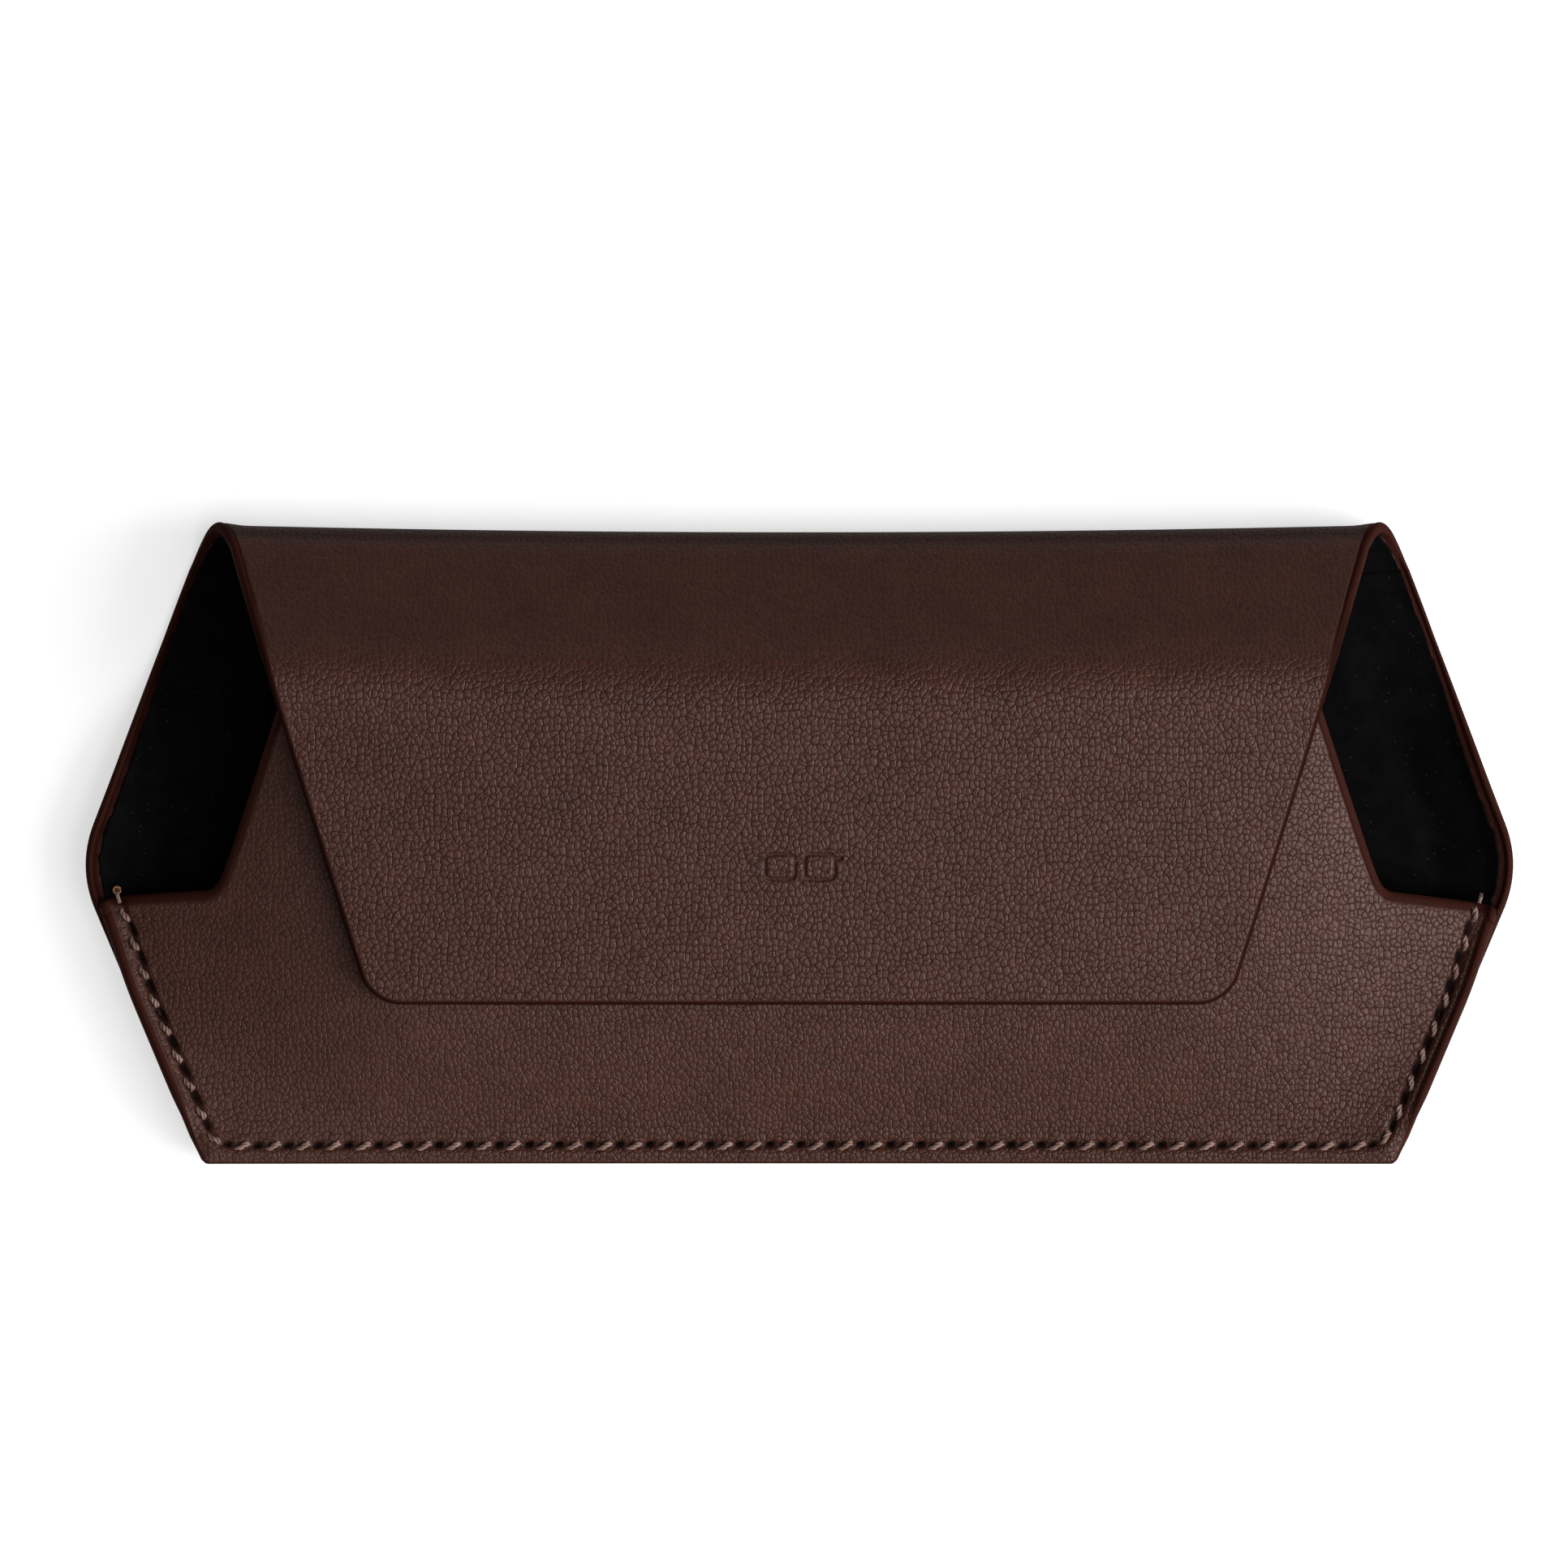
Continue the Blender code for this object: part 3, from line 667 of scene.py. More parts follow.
def seam_relief(x, y):
    """(relief, painted shade) beside and between the stitches, for plan points near the seam."""
    pts = np.stack([x.ravel(), y.ravel()], 1)
    near = (np.abs(pts[:, 1] - 2.05) < 3.2) | (np.abs(np.abs(pts[:, 0]) - (pocket_edge_half(pts[:, 1]) - 2.2)) < 3.2)
    near &= pts[:, 1] < MOUTH_Y + 0.5
    h = np.zeros(len(pts))
    dark = np.zeros(len(pts))
    idx = np.nonzero(near)[0]
    if len(idx) == 0:
        return h.reshape(x.shape), dark.reshape(x.shape)
    q = pts[idx]
    coarse_line = SEAM[::6]
    cs = SEAM_S[::6]
    a, b = coarse_line[:-1], coarse_line[1:]
    ab = b - a
    ll = (ab**2).sum(1)
    along = np.empty(len(q))
    dist = np.empty(len(q))
    for k in range(0, len(q), 20000):
        v = q[k : k + 20000, None, :] - a[None]
        t = np.clip((v * ab[None]).sum(-1) / ll, 0, 1)
        rest = v - t[..., None] * ab[None]
        dd = (rest**2).sum(-1)
        m = dd.argmin(1)
        r = np.arange(len(m))
        along[k : k + 20000] = cs[m] + t[r, m] * (cs[m + 1] - cs[m])
        cross = ab[m, 0] * rest[r, m, 1] - ab[m, 1] * rest[r, m, 0]
        dist[k : k + 20000] = np.sqrt(dd[r, m]) * np.sign(cross)
    # a soft groove along the seam
    groove = -0.20 * np.exp(-((dist / 0.55) ** 2))
    # pits where the needle went through: long, askew and towards the case's middle
    phase = along / PITCH
    k = np.round(phase)
    off = (phase - k) * PITCH
    ok = (k >= 1) & (k <= COUNT - 1)
    side = np.where(np.abs(q[:, 0]) > 68.0, 1.0, 0.0)
    tilt = dist - 0.20 - 0.12 * off
    pit_and_shade = np.exp(-((off / (0.50 + 0.30 * side)) ** 4) - (tilt / (0.25 + 0.03 * side)) ** 2) * ok
    # the leather is pulled down under each stitch and swells beside it
    ks = np.floor(phase) + 0.5
    offs = (phase - ks) * PITCH
    under = np.exp(-((offs / 0.95) ** 2) - (dist / 0.42) ** 2)
    swell = np.exp(-((offs / 0.9) ** 2) - ((np.abs(dist) - 0.85) / 0.45) ** 2)
    h[idx] = np.maximum(groove - 0.95 * pit_and_shade - 0.12 * under + 0.09 * swell, -0.84)
    # painted shade in the needle holes and along the seam's groove
    dark[idx] = np.clip(1.25 * pit_and_shade + 0.42 * np.exp(-(((dist - 0.08) / 0.24) ** 2)), 0, 1)
    return h.reshape(x.shape), dark.reshape(x.shape)


# ---------------------------------------------------------------- leather: back, fold, flap
def cover_panel(name, s_rows, thick, lo_open=False, hi_open=False, bead=0.0, mark=False, seam=False):
    mid = MID_MARK if mark else MID_PLAIN
    s = np.repeat(s_rows[:, None], len(EDGE) * 2 - 2 + len(mid), 1)
    x = cover_columns(s_rows, mid)
    d = cover_distance(s, x)
    p = cover_at(s, x)
    n = normals_of(cover_at, s, x, 1.0)
    t = thick(s, x, d)
    r_out, r_in = 0.42, 0.34
    rel = -edge_drop(d, 0.42) - 0.16 * (1 - smooth(d / 0.8)) * smooth((s - S_SLOPE) / 8.0)
    # by the fold's ends a plain, creased margin runs along the edge; it fades down the flap
    fold_end = smooth((s - S_FOLD) / 3.0) * (1 - smooth((s - S_SLOPE - 6.0) / 16.0))
    lower = 1 - smooth((s - S_FOLD) / 3.0)
    rel = rel - fold_end * 0.11 * np.exp(-(((d - 0.92) / 0.12) ** 2))
    rel = rel + fold_end * 0.05 * np.exp(-(((d - 0.50) / 0.25) ** 2))
    # painted shade in the crease by the fold's ends and in the groove along the back's rim
    dark = 0.50 * fold_end * np.exp(-(((d - 0.92) / 0.11) ** 2))
    dark = np.maximum(dark, 0.62 * lower * np.exp(-(((d - 0.60) / 0.13) ** 2)))
    # along the flap's free edge: partly the dark edge paint, partly a painted shadow of the edge over the pocket
    free = smooth((s - S_SLOPE - 4.0) / 10.0)
    dark = np.maximum(dark, 0.62 * free * (1 - smooth((d - 0.26) / 0.20)))
    reach = 0.46 + 0.40 * fold_end + 0.50 * lower
    band = 1 - smooth((d - reach) / 0.2)
    if mark:
        m = mark_distance(x, -(s - MARK_S))
        cut = 1 - smooth((m - 0.11) / 0.20)
        rel = rel - 0.17 * cut + 0.05 * np.exp(-(((m - 0.46) / 0.14) ** 2))
        # the debossed strokes take part of the edge colour and are darkened with painted shade
        band = np.maximum(band, 0.40 * (1 - smooth((m - 0.14) / 0.15)))
        dark = np.maximum(dark, 0.10 * (1 - smooth((m - 0.14) / 0.16)))
    if seam:
        hh, dk = seam_relief(x, s)
        rel = rel + hh * 0.8
        dark = np.maximum(dark, dk)
    # press_and_shade: the fold's round top, with its grain pressed into deeper cracks and painted shade darkening it
    press_and_shade = smooth((s - S_FOLD - 3.5) / 4.0) * (1 - smooth((s - S_SLOPE + 2.6) / 2.4))
    # calm_and_shade: calmer grain on the slope that turns away from the light, with painted shade darkening it
    calm_and_shade = smooth((s - S_SLOPE + 4.6) / 3.0) * (1 - smooth((s - S_RIDGE + 4.5) / 10.5))
    inner = lower * (0.10 * np.exp(-(((d - 0.28) / 0.16) ** 2)) - 0.16 * np.exp(-(((d - 0.62) / 0.13) ** 2)))
    top = p - n * rel[..., None]
    bottom = p + n * (t - edge_drop(d, r_in) + inner)[..., None]
    E = len(EDGE) - 1
    C = x.shape[1]
    cols_b = list(range(0, E + 8)) + list(range(E + 8, C - E - 8, 6 if mark else 2)) + list(range(C - E - 8, C))
    rows_b = range(0, len(s_rows), 2 if mark else 1)
    pat = np.stack([0.90 * x, 0.90 * s, np.zeros_like(x)], -1)
    obj = panel(
        name, top, bottom,
        attrs={"pat": pat, "band": band, "pit_and_shade": dark, "press_and_shade": press_and_shade, "calm_and_shade": calm_and_shade}, rows_b=rows_b, cols_b=cols_b,
    )
    orient(obj)
    matte_faces(obj)
    return obj


def thick_back(s, x, d):
    board = smooth((d - 7.0) / 4.0) * (1 - smooth((s - 57.5) / 5.0))
    sewn = (1 - smooth((d - 1.0) / 1.2)) * 0.25
    return 1.0 + sewn * (1 - board) - 0.14 * board


def thick_fold(s, x, d):
    return np.full_like(x, 1.0) + 0.2 * (1 - smooth((d - 1.0) / 1.2))


def thick_flap(s, x, d):
    board = smooth((d - 1.8) / 1.6) * smooth((s - (S_SLOPE + 1.5)) / 3.0)
    return 1.0 + 0.2 * (1 - smooth((d - 1.0) / 1.2)) * (1 - board) - 0.14 * board


back_rows = np.concatenate([
    [0, 0.05, 0.12, 0.2, 0.3, 0.42, 0.56, 0.72, 0.9],
    lines(1.1, 3.4, 0.2), lines(3.8, S_FOLD - 1.2, 0.62), [S_FOLD - 0.6, S_FOLD - 0.3, S_FOLD - 0.12, S_FOLD - 0.04, S_FOLD],
])
leather_back = cover_panel("leather_back", back_rows, thick_back, seam=True)
fold_a = np.concatenate([[S_FOLD, S_FOLD + 0.04, S_FOLD + 0.12], lines(S_FOLD + 0.3, S_MID - 0.3, 0.26), [S_MID - 0.12, S_MID - 0.04, S_MID]])
fold_b = np.concatenate([[S_MID, S_MID + 0.04, S_MID + 0.12], lines(S_MID + 0.3, S_SLOPE - 0.3, 0.26), [S_SLOPE - 0.12, S_SLOPE - 0.04, S_SLOPE]])
leather_fold_a = cover_panel("leather_fold_lower", fold_a, thick_fold)
leather_fold_b = cover_panel("leather_fold_upper", fold_b, thick_fold)
flap_rows = np.concatenate([
    [S_SLOPE, S_SLOPE + 0.04, S_SLOPE + 0.12, S_SLOPE + 0.3],
    lines(S_SLOPE + 0.7, MARK_S - 3.2, 0.42),
    lines(MARK_S - 3.0, MARK_S + 3.0, 0.12),
    lines(MARK_S + 3.3, S_TIP - 3.6, 0.42),
    lines(S_TIP - 3.3, S_TIP - 1.4, 0.2),
    S_TIP - EDGE[::-1][3:],
])
leather_flap = cover_panel("leather_flap", flap_rows, thick_flap, mark=True)

# ---------------------------------------------------------------- leather: pocket
TONGUE_FOOT = 67.0
TONGUE_SLOPE = 0.345  # x per y of the tongue's slanted sides


def pocket_top(x):
    """y of the pocket's upper edge above the plan position x."""
    ax = np.abs(x)
    drop = np.where(x < 0, 0.95, MOUTH_DROP)
    mouth = MOUTH_Y - drop * np.clip((ax - 64.0) / 16.4, 0, 1) ** 1.15
    side_y = MOUTH_Y + (TONGUE_FOOT - ax) / TONGUE_SLOPE
    k = 1.1
    # smooth joins: a fillet at the tongue's foot and a rounded upper corner
    foot = k * np.logaddexp(mouth / k, side_y / k)
    top = np.minimum(foot, 200)
    q = 1.6
    return -q * np.logaddexp(-top / q, -TONGUE_TOP / q)


def pocket_bottom(x):
    ax = np.abs(x)
    ys = np.linspace(0, MOUTH_Y, 1200)
    half = pocket_edge_half(ys)
    return np.interp(ax, half, ys, left=0.0)


end_x = 80.35
px = np.concatenate([lines(-end_x, -79.4, 0.1)[:-1], lines(-79.4, 79.4, 0.245), lines(79.4, end_x, 0.1)[1:]])
yb, yt = pocket_bottom(px), pocket_top(px)
# the mouth's outer corners are rounded
cr = 1.1
lack = np.clip(np.abs(px) - (end_x - cr), 0, cr)
yt = yt - (cr - np.sqrt(np.maximum(0, cr * cr - lack * lack)))
low_offsets = np.concatenate([[0, 0.06, 0.14, 0.24, 0.36, 0.5, 0.66, 0.84], lines(1.05, 3.2, 0.19), lines(3.45, 9.8, 0.33)])
high_offsets = np.concatenate([[0, 0.06, 0.14, 0.24, 0.36, 0.5, 0.68, 0.88, 1.08, 1.22, 1.4], lines(1.7, 4.1, 0.4)])
height = yt - yb
scale = np.minimum(1.0, height / 18.0)
mid_n = 60
lowy = yb[None] + low_offsets[:, None] * scale[None]
highy = yt[None] - high_offsets[::-1, None] * scale[None]
w = np.linspace(0, 1, mid_n + 2)[1:-1, None]
midy = lowy[-1][None] * (1 - w) + highy[0][None] * w
py = np.concatenate([lowy, midy, highy])
pxx = np.repeat(px[None], len(py), 0)
# distance to the pocket's outline
fx = np.linspace(-end_x, end_x, 2600)
fyt = pocket_top(fx)
fl = np.clip(np.abs(fx) - (end_x - cr), 0, cr)
fyt = fyt - (cr - np.sqrt(np.maximum(0, cr * cr - fl * fl)))
upper_line = np.stack([fx, fyt], 1)
lower_line = np.stack([fx, pocket_bottom(fx)], 1)
ends = [np.array([lower_line[0], upper_line[0]]), np.array([upper_line[-1], lower_line[-1]])]
pts = np.stack([pxx.ravel(), py.ravel()], 1)


def near_far(points, line, reach, stepx):
    """far() with a polyline given as a function of x, cut down to the part near each point."""
    order = np.argsort(points[:, 0])
    out = np.full(len(points), reach)
    xs = line[:, 0]
    for chunk in np.array_split(order, 160):
        lo, hi = points[chunk, 0].min() - reach, points[chunk, 0].max() + reach
        i0, i1 = np.searchsorted(xs, lo), np.searchsorted(xs, hi)
        part = line[max(0, i0 - 1) : i1 + 1]
        if len(part) > 1:
            out[chunk] = np.minimum(out[chunk], far(points[chunk], part))
    return out


d_low = near_far(pts, lower_line, 6.0, 1).reshape(py.shape)
d_up = near_far(pts, upper_line, 6.0, 1).reshape(py.shape)
d_end = np.minimum(far(pts, ends[0]), far(pts, ends[1])).reshape(py.shape)
d_up = np.minimum(d_up, d_end)
d = np.minimum(d_low, d_up)
P = pocket_at(py, pxx)
N = normals_of(pocket_at, py, pxx, -1.0)
rel, dark = seam_relief(pxx, py)
slant = smooth((np.abs(pxx) - 69.0) / 2.5)
rel = rel - edge_drop(d, 0.5) - 0.22 * (1 - smooth(d_up / 1.0)) * smooth((d_low - 0.5) / 1.0)
# towards the sewn edges the two leathers are pressed together
sewn = (1 - smooth(d_low / 1.7)) * smooth((d_up - 0.2) / 2.0) * (1 - slant)
rel = rel - 0.34 * sewn
rel = rel + slant * 0.10 * np.exp(-(((d_low - 0.50) / 0.30) ** 2))
rel = rel - 0.12 * np.exp(-(((d_up - 1.05) / 0.14) ** 2))
rel = rel - slant * 0.13 * np.exp(-(((d_low - 1.0) / 0.13) ** 2)) * smooth((d_up - 0.7) / 0.5)
band = np.maximum(1 - smooth((d_up - 0.92) / 0.2), 1 - smooth((d_low - (0.16 + 0.56 * slant)) / 0.2))
# painted shade in the groove under the mouth's rolled edge and in the crease beside the slanted edges
dark = np.maximum(dark, 0.5 * np.exp(-(((d_up - 1.05) / 0.12) ** 2)))
dark = np.maximum(dark, slant * 0.5 * np.exp(-(((d_low - 1.0) / 0.12) ** 2)) * smooth((d_up - 0.7) / 0.5))
top = P - N * rel[..., None]
board = smooth((py - 8.5) / 4.0) * smooth((cover_half(py) * 0.76 - np.abs(pxx)) / 3.0) * smooth((d_up - 1.2) / 1.0)
thick = 0.98 - 0.12 * board + 0.2 * (1 - smooth(d_low / 1.5))
bottom = P + N * (thick - edge_drop(d, 0.28))[..., None]
# calm_and_shade: calmer grain on the pocket's left part, with a little painted shade darkening it
leather_pocket = panel(
    "leather_pocket", top, bottom,
    attrs={
        "pat": np.stack([pxx + 300, py, 0 * py], -1), "band": band, "pit_and_shade": dark,
        "calm_and_shade": 0.5 - 0.5 * smooth((pxx + 56) / 34.0),
    },
)
orient(leather_pocket)
matte_faces(leather_pocket)


# ---------------------------------------------------------------- linings
def lining_panel(name, at, rows, xs, depth, thick, into, shift=0.0):
    """rows and xs are grids of the surface parameters."""
    p = at(rows, xs)
    n = normals_of(at, rows, xs, into)
    outer = p + n * depth[..., None]
    inner = p + n * (depth + thick)[..., None]
    obj = panel(
        name, inner, outer,
        attrs={"pat": np.stack([xs + shift, rows, 0 * xs], -1), "band": 0 * xs, "pit_and_shade": 0 * xs},
    )
    orient(obj)
    obj.data.materials.append(MAT["suede"])
    return obj


def lining_grid(s_rows, inset, cols=230):
    """Grid of the lining; its cut edge wavers a little inside the leather's edge."""
    half = cover_half(s_rows) - inset
    wob_r = 0.10 * noise1(s_rows, 3, 1.1) + 0.06 * noise1(s_rows, 5, 0.4)
    wob_l = 0.10 * noise1(s_rows, 11, 1.3) + 0.06 * noise1(s_rows, 13, 0.45)
    u = np.concatenate([[-1, -0.9985, -0.996], lines(-0.99, 0.99, 2 / cols), [0.996, 0.9985, 1]])[None]
    lo, hi = -(half + wob_l)[:, None], (half + wob_r)[:, None]
    xs = lo + (u + 1) / 2 * (hi - lo)
    return np.repeat(s_rows[:, None], xs.shape[1], 1), xs


def lining_depth(s, x, d, kind):
    base = thick_back(s, x, d) if kind == "back" else thick_flap(s, x, d) if kind == "flap" else thick_fold(s, x, d)
    if kind == "back":
        b = smooth((d - 7.0) / 4.0) * (1 - smooth((s - 57.5) / 5.0))
    elif kind == "flap":
        b = smooth((d - 1.8) / 1.6) * smooth((s - (S_SLOPE + 1.5)) / 3.0)
    else:
        b = 0
    return base + 0.02 + b * (1.94 - 0.86 - 0.02)


rows = np.concatenate([lines(1.15, 30, 1.0), lines(30.5, S_FOLD - 0.5, 0.5), [S_FOLD]])
s, x = lining_grid(rows, 1.12)
d = np.minimum(cover_half(s) - np.abs(x), s) * 0.93
lining_back = lining_panel("lining_back", cover_at, s, x, lining_depth(s, x, d, "back"), 0.36, 1.0)
for nm, lo, hi in (("lining_fold_lower", S_FOLD, S_MID), ("lining_fold_upper", S_MID, S_SLOPE)):
    rows = lines(lo, hi, 0.4)
    s, x = lining_grid(rows, 1.12)
    d = (cover_half(s) - np.abs(x)) * 0.93
    o = lining_panel(nm, cover_at, s, x, lining_depth(s, x, d, "fold"), 0.36, 1.0)
    if nm.endswith("lower"):
        lining_fold_a = o
    else:
        lining_fold_b = o
rows = np.concatenate([[S_SLOPE], lines(S_SLOPE + 0.6, S_TIP - 1.2, 0.6)])
s, x = lining_grid(rows, 1.0, 180)
d = np.minimum((cover_half(s) - np.abs(x)) * 0.95, S_TIP - s)
lining_flap = lining_panel("lining_flap", cover_at, s, x, lining_depth(s, x, d, "flap"), 0.36, 1.0)

lx = lines(-79.0, 79.0, 0.6)
lb, lt = pocket_bottom(lx) + 1.2 + 1.4 * smooth((np.abs(lx) - 66) / 5), pocket_top(lx) - 0.55 - 1.6 * smooth((np.abs(lx) - 58) / 3) * (1 - smooth((np.abs(lx) - 67) / 2))
lt = np.maximum(lt, lb + 0.15)
v = lines(0, 1, 1 / 90)[:, None]
ly = lb[None] * (1 - v) + lt[None] * v
lxx = np.repeat(lx[None], len(ly), 0)
bb = smooth((ly - 8.5) / 4.0) * smooth((cover_half(ly) * 0.76 - np.abs(lxx)) / 3.0) * smooth((lt[None] - ly - 0.4) / 1.2)
dep = 0.98 - 0.12 * bb + 0.02 + bb * (1.94 - 0.86 - 0.02)
lining_pocket = lining_panel("lining_pocket", pocket_at, ly, lxx, dep, 0.36, -1.0, shift=170.0)


# ---------------------------------------------------------------- boards inside the soft panels
def slab(name, at, into, rows, xs, d0, d1, holes, radius):
    """A board between two depths of a surface, with round holes; rows and xs are grids."""
    rows, xs = rows.astype(float).copy(), xs.astype(float).copy()
    mid_r = (rows[1:, 1:] + rows[:-1, 1:] + rows[1:, :-1] + rows[:-1, :-1]) / 4
    mid_x = (xs[1:, 1:] + xs[:-1, 1:] + xs[1:, :-1] + xs[:-1, :-1]) / 4
    keep = np.ones(mid_r.shape, bool)
    for hx, hr in holes:
        hole = np.hypot(mid_x - hx, mid_r - hr) < radius
        keep &= ~hole
        node = np.zeros(rows.shape, int)
        for di in (0, 1):
            for dj in (0, 1):
                node[di : rows.shape[0] - 1 + di, dj : rows.shape[1] - 1 + dj] += hole
        rim = (node > 0) & (node < 4)
        dist = np.hypot(xs - hx, rows - hr)
        xs[rim] = hx + (xs[rim] - hx) * radius / dist[rim]
        rows[rim] = hr + (rows[rim] - hr) * radius / dist[rim]
    p, n = at(rows, xs), normals_of(at, rows, xs, into)
    used = np.zeros(rows.shape, bool)
    for di in (0, 1):
        for dj in (0, 1):
            used[di : rows.shape[0] - 1 + di, dj : rows.shape[1] - 1 + dj] |= keep
    index = -np.ones(rows.shape, int)
    index[used] = np.arange(used.sum())
    count = int(used.sum())
    pts = np.concatenate([(p + n * d0)[used], (p + n * d1)[used]]) + np.array([0, Y0, 0])
    faces = []
    K = np.pad(keep, 1)
    for i, j in zip(*np.nonzero(keep)):
        a, b, c, d = (int(index[q]) for q in ((i, j), (i, j + 1), (i + 1, j + 1), (i + 1, j)))
        faces += [(a, b, c, d), (d + count, c + count, b + count, a + count)]
        for u, v, open_ in ((a, b, not K[i, j + 1]), (b, c, not K[i + 1, j + 2]), (c, d, not K[i + 2, j + 1]), (d, a, not K[i + 1, j])):
            if open_:
                faces.append((v, u, u + count, v + count))
    mesh = bpy.data.meshes.new(name)
    mesh.from_pydata((pts * MM).tolist(), [], faces)
    mesh.update()
    obj = bpy.data.objects.new(name, mesh)
    bpy.context.scene.collection.objects.link(obj)
    orient(obj)
    obj.data.materials.append(MAT["board"])
    return obj


def middle(node):
    lo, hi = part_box(node)
    return (lo + hi) / 2 / MM


def nearest_s(y, z):
    """Pattern length along the flap's middle at the plan position y."""
    ss = np.linspace(S_FLAP, S_TIP, 2000)
    yy, zz, aa = cover_line(ss)
    # the magnet lies 1.4 mm in from the outer face
    return float(ss[np.argmin(np.hypot(yy - np.sin(aa) * 1.37 - y, zz + np.cos(aa) * 1.37 - z))])


holes = []
for node in ("flap_magnet_left", "flap_magnet_right"):
    m = middle(node)
    holes.append((m.x, nearest_s(m.y - Y0, m.z)))
br = lines(S_SLOPE + 4.6, S_TIP - 3.6, 0.9)
bu = lines(-0.925, 0.925, 0.0175)
board_flap = slab(
    "board_flap", cover_at, 1.0, np.repeat(br[:, None], len(bu), 1), cover_half(br)[:, None] * bu[None],
    0.93, 1.80, holes, 4.3,
)
holes = [(middle(node).x, middle(node).y - Y0) for node in ("pocket_magnet_left", "pocket_magnet_right")]
br = lines(13.2, 54.8, 0.9)
bu = lines(-0.715, 0.715, 0.014)
half_b = pocket_edge_half(np.minimum(br, MOUTH_Y)) - 0.345 * np.maximum(0, br - MOUTH_Y) * 1.05
board_pocket = slab(
    "board_pocket", pocket_at, -1.0, np.repeat(br[:, None], len(bu), 1), half_b[:, None] * bu[None],
    0.93, 1.80, holes, 4.3,
)

# ---------------------------------------------------------------- thread
def tube_mesh(name, strands, sides, material):
    """One mesh of round strands: (centre points, radii, ply coordinate) in millimetres."""
    verts, faces, ply = [], [], []
    for pts, radii, tag in strands:
        m = len(pts)
        tan = np.gradient(pts, axis=0)
        tan /= np.maximum(np.linalg.norm(tan, axis=1, keepdims=True), 1e-9)
        ref = np.array([0.0, 0.0, 1.0])
        a = np.cross(tan, ref)
        bad = np.linalg.norm(a, axis=1) < 1e-3
        a[bad] = np.cross(tan[bad], [0.0, 1.0, 0.0])
        a /= np.linalg.norm(a, axis=1, keepdims=True)
        b = np.cross(a, tan)
        base = sum(len(q) for q in verts)
        ang = np.linspace(0, 2 * math.pi, sides, endpoint=False)
        ring = pts[:, None] + radii[:, None, None] * (np.cos(ang)[None, :, None] * a[:, None] + np.sin(ang)[None, :, None] * b[:, None])
        verts.append(ring.reshape(-1, 3))
        along = np.linspace(0, 1, m) * 2.0
        ply.append(np.stack([np.repeat(along + tag * 5, sides), np.tile(ang / 6, m), np.full(m * sides, tag)], 1))
        for i in range(m - 1):
            for q in range(sides):
                r = (q + 1) % sides
                faces.append((base + i * sides + q, base + i * sides + r, base + (i + 1) * sides + r, base + (i + 1) * sides + q))
        faces.append(tuple(base + q for q in reversed(range(sides))))
        faces.append(tuple(base + (m - 1) * sides + q for q in range(sides)))
    pts = np.concatenate(verts) + np.array([0, Y0, 0])
    mesh = bpy.data.meshes.new(name)
    mesh.from_pydata((pts * MM).tolist(), [], faces)
    mesh.update()
    mesh.shade_smooth()
    att = mesh.attributes.new("ply", "FLOAT_VECTOR", "POINT")
    att.data.foreach_set("vector", np.concatenate(ply).astype(np.float32).ravel())
    obj = bpy.data.objects.new(name, mesh)
    bpy.context.scene.collection.objects.link(obj)
    obj.data.materials.append(material)
    return obj


def stitch_row(surface, up, tilt_bottom, tilt_side, bury):
    """Three-ply stitches on a surface(x, y) -> (point, normal)."""
    strands = []
    for k, at in enumerate(STITCH_AT):
        c, tdir = seam_point(at)
        flat = abs(c[0]) < 66.5
        tilt = math.radians((tilt_bottom if flat else tilt_side) + rng.normal(0, 2.5))
        ca, sa = math.cos(tilt), math.sin(tilt)
        dirn = np.array([tdir[0] * ca - tdir[1] * sa, tdir[0] * sa + tdir[1] * ca])
        length = PITCH * (0.56 if flat else 0.52) + rng.normal(0, 0.05)
        m = 17
        t = np.linspace(-1, 1, m)
        across = np.array([-dirn[1], dirn[0]])
        bow = 0.10 * np.sin(math.pi * (t - 0.15)) + rng.normal(0, 0.015)
        plan = c[None] + dirn[None] * (t[:, None] * length / 2) + across[None] * bow[:, None]
        # a stitch is thin where it comes up and full before it goes down
        full = 0.105 + 0.085 * smooth((t + 0.9) / 1.1)
        rise = 0.24 * (1 - t**2) + 0.10 * t * (1 - t**2) - bury * (np.clip(t - 0.74, 0, 1) * 4.2 + np.clip(-t - 0.7, 0, 1) * 2.0) - 0.05
        p, n = surface(plan[:, 0], plan[:, 1])
        centre = p + n * rise[:, None]
        turns = 0.95 + rng.normal(0, 0.06)
        start = rng.uniform(0, 1.2)
        for ply in (0, 1, 2):
            ang = 2 * math.pi * (turns * (t + 1) / 2 + ply / 3) + start
            side3 = np.concatenate([across, [0.0]])
            off = full[:, None] * (np.cos(ang)[:, None] * side3[None] + np.sin(ang)[:, None] * n)
            rad = full * 0.98 * (1 - 0.2 * np.abs(t) ** 4)
            strands.append((centre + off, rad, (k % 9) * 0.37 + ply * 0.11))
    return strands


def on_pocket(x, y):
    p = pocket_at(y, x)
    n = -normals_of(pocket_at, y, x, -1.0)
    h, _ = seam_relief(np.asarray(x), np.asarray(y))
    return p + n * (np.maximum(h, -0.30) * 0.6)[:, None], n


def on_back(x, y):
    p = cover_at(y, x)
    n = -normals_of(cover_at, y, x, 1.0)
    h, _ = seam_relief(np.asarray(x), np.asarray(y))
    return p + n * (np.maximum(h, -0.30) * 0.6)[:, None], n


strands = stitch_row(on_pocket, 1, 19.0, 11.0, 0.34)
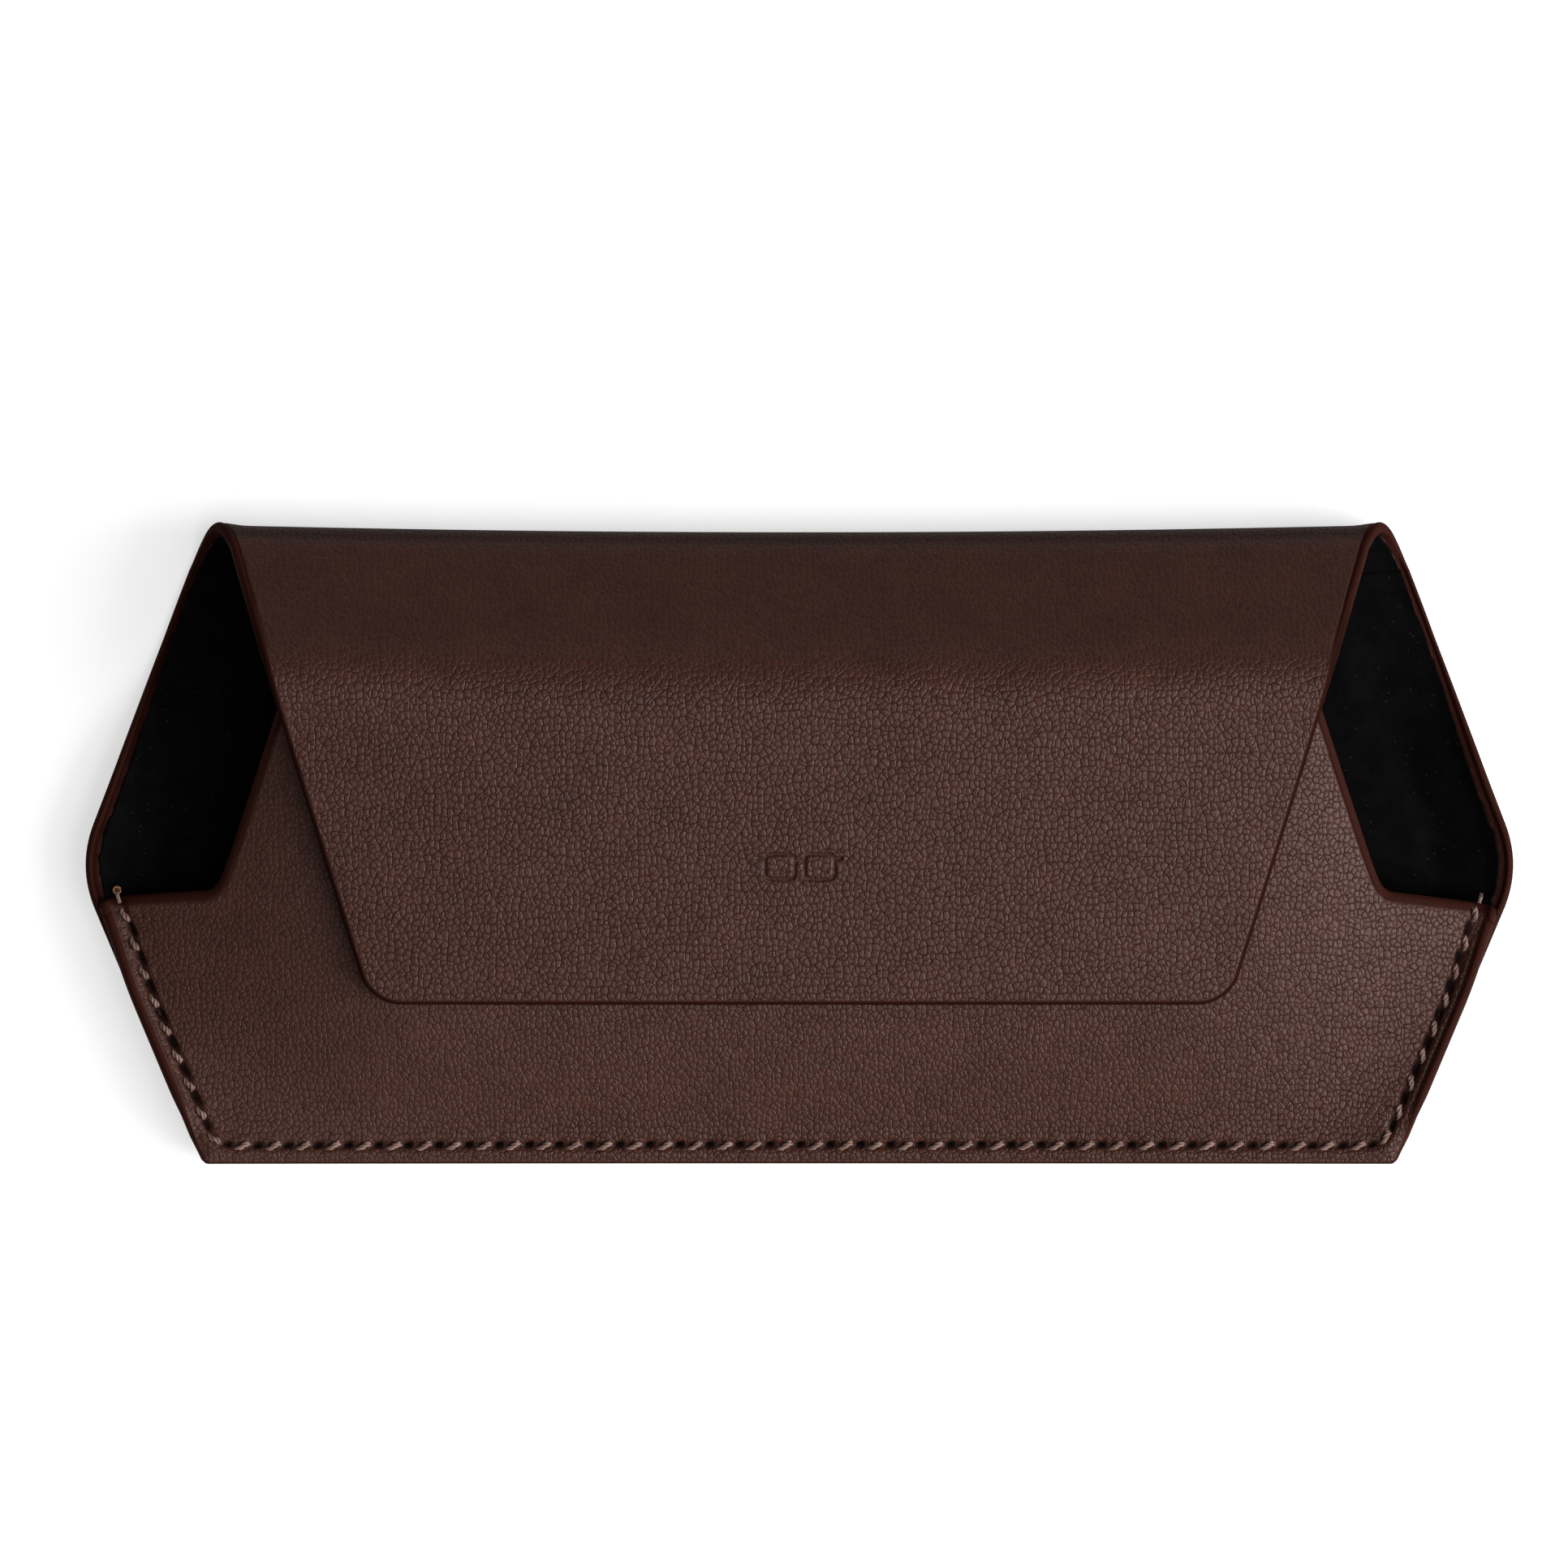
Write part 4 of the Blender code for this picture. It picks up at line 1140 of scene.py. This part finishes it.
# the thread is tied off over the mouth's edge at both ends
for sgn in (-1, 1):
    c, tdir = seam_point(0.25 if sgn < 0 else SEAM_S[-1] - 0.25)
    out = -tdir if sgn < 0 else tdir
    for ply in range(3):
        t = np.linspace(0, 1, 16)
        path = c[None] + out[None] * (t[:, None] * (1.9 if sgn < 0 else 1.1))
        z = pocket_height(np.array([c[0]]), np.array([c[1]]))[0] + 0.18 - 1.5 * smooth((t - 0.55) / 0.45)
        ang = 2 * math.pi * (1.2 * t + ply / 3)
        side2 = np.array([-out[1], out[0]])
        pts3 = np.concatenate([path + 0.12 * np.cos(ang)[:, None] * side2[None], (z + 0.10 * np.sin(ang))[:, None]], 1)
        strands.append((pts3, np.full(16, 0.12), 5 + ply + sgn))
    if sgn > 0:
        continue
    # a small loop of the thread's end
    loop = np.linspace(0, 1.85 * math.pi, 26)
    centre = c + out * 1.55 + np.array([sgn * -0.15, 0.0])
    zz = pocket_height(np.array([c[0]]), np.array([c[1]]))[0] + 0.05
    rad = 0.40
    pts3 = np.stack([
        centre[0] + rad * np.cos(loop + (0.4 if sgn < 0 else 2.0)),
        centre[1] + rad * 0.95 * np.sin(loop + (0.4 if sgn < 0 else 2.0)),
        zz + 0.12 * np.sin(loop * 0.5),
    ], 1)
    strands.append((pts3, np.full(26, 0.12), 40 + sgn))
    tail = np.linspace(0, 1, 8)
    a = pts3[-1]
    pts3 = a[None] + np.stack([-sgn * 0.1 * tail + sgn * 0.5 * tail, 0.25 * tail, -0.1 * tail], 1)
    strands.append((pts3, 0.12 * (1 - 0.6 * tail), 44 + sgn))
seam_top = tube_mesh("seam_stitches_front", strands, 7, MAT["thread"])
seam_under = tube_mesh("seam_stitches_back", stitch_row(on_back, -1, 12.0, 6.0, 0.30), 6, MAT["thread"])

# ---------------------------------------------------------------- bodies
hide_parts("back_cover")
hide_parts("back_lining")
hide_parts("pocket_cover")
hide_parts("pocket_lining")
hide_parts("fold_cover")
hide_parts("fold_lining")
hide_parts("flap_cover")
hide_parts("flap_lining")
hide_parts("seam_needle_thread")
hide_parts("flap_board")
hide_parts("pocket_board")
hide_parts("seam_bobbin_thread")


for obj, a, b, lo, hi, depth in (
    (leather_fold_a, "case", "fold", S_FOLD, S_MID, 0.0),
    (lining_fold_a, "case", "fold", S_FOLD, S_MID, 1.2),
    (leather_fold_b, "fold", "flap", S_MID, S_SLOPE, 0.0),
    (lining_fold_b, "fold", "flap", S_MID, S_SLOPE, 1.2),
):
    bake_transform(obj)
for obj in (leather_back, lining_back, leather_pocket, lining_pocket, board_pocket, seam_top, seam_under):
    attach(obj, "case")
for obj in (leather_flap, lining_flap, board_flap):
    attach(obj, "flap")

for node, key in (
    ("back_board", "board"),
    ("pocket_magnet_left", "nickel"), ("pocket_magnet_right", "nickel"),
    ("flap_magnet_left", "nickel"), ("flap_magnet_right", "nickel"),
):
    obj = bpy.data.objects[node]
    if obj.material_slots:
        obj.material_slots[0].material = MAT[key]
    else:
        obj.data.materials.append(MAT[key])

# ---------------------------------------------------------------- floor, light and camera
floor_mesh = bpy.data.meshes.new("floor")
floor_mesh.from_pydata([(-3, -3, 0), (3, -3, 0), (3, 3, 0), (-3, 3, 0)], [], [(0, 1, 2, 3)])
floor = bpy.data.objects.new("floor", floor_mesh)
bpy.context.scene.collection.objects.link(floor)
fm = Nodes("floor_paper")
fm.bsdf.inputs["Base Color"].default_value = (0.56, 0.56, 0.56, 1)
fm.bsdf.inputs["Roughness"].default_value = 0.9
fm.bsdf.inputs["Specular IOR Level"].default_value = 0.0
fm.bsdf.inputs["Emission Color"].default_value = (1, 1, 1, 1)
fm.bsdf.inputs["Emission Strength"].default_value = 0.60
floor.data.materials.append(fm.mat)
floor.location.z = -0.00005

world = bpy.data.worlds.new("studio")
world.use_nodes = True
world.node_tree.nodes["Background"].inputs[0].default_value = (1.0, 1.0, 1.0, 1)
world.node_tree.nodes["Background"].inputs[1].default_value = 0.07
bpy.context.scene.world = world


def area(name, at, target, size, power, size_y=None):
    data = bpy.data.lights.new(name, "AREA")
    data.shape = "RECTANGLE"
    data.size = size
    data.size_y = size_y or size
    data.energy = power
    obj = bpy.data.objects.new(name, data)
    bpy.context.scene.collection.objects.link(obj)
    obj.location = at
    obj.rotation_euler = (Vector(target) - Vector(at)).to_track_quat("-Z", "Y").to_euler()
    return obj


area("key", (0.47, -0.18, 0.86), (0, 0, 0), 0.50, 3.0)
area("side", (1.36, -0.35, 0.67), (0, 0, 0), 1.10, 37.0)
area("top_front", (0.10, -0.42, 1.36), (0, 0, 0), 1.1, 5.0)

camera = bpy.data.cameras.new("camera")
cam = bpy.data.objects.new("camera", camera)
bpy.context.scene.collection.objects.link(cam)
PX = 0.0937  # millimetres of the case seen by one picture element, 4 mm over the table
DIST = 950.0
cam.location = ((966 - 985) * PX * MM, ((1434 - 966) * PX + Y0) * MM, (DIST + 4) * MM)
cam.rotation_euler = (0, 0, 0)
camera.sensor_fit = "HORIZONTAL"
camera.sensor_width = 36.0
camera.lens = 36.0 * DIST / (1932 * PX)
camera.clip_start, camera.clip_end = 0.05, 10
bpy.context.scene.camera = cam
bpy.context.scene.view_settings.view_transform = "Standard"
bpy.context.scene.view_settings.look = "None"
bpy.context.scene.view_settings.exposure = 0.0
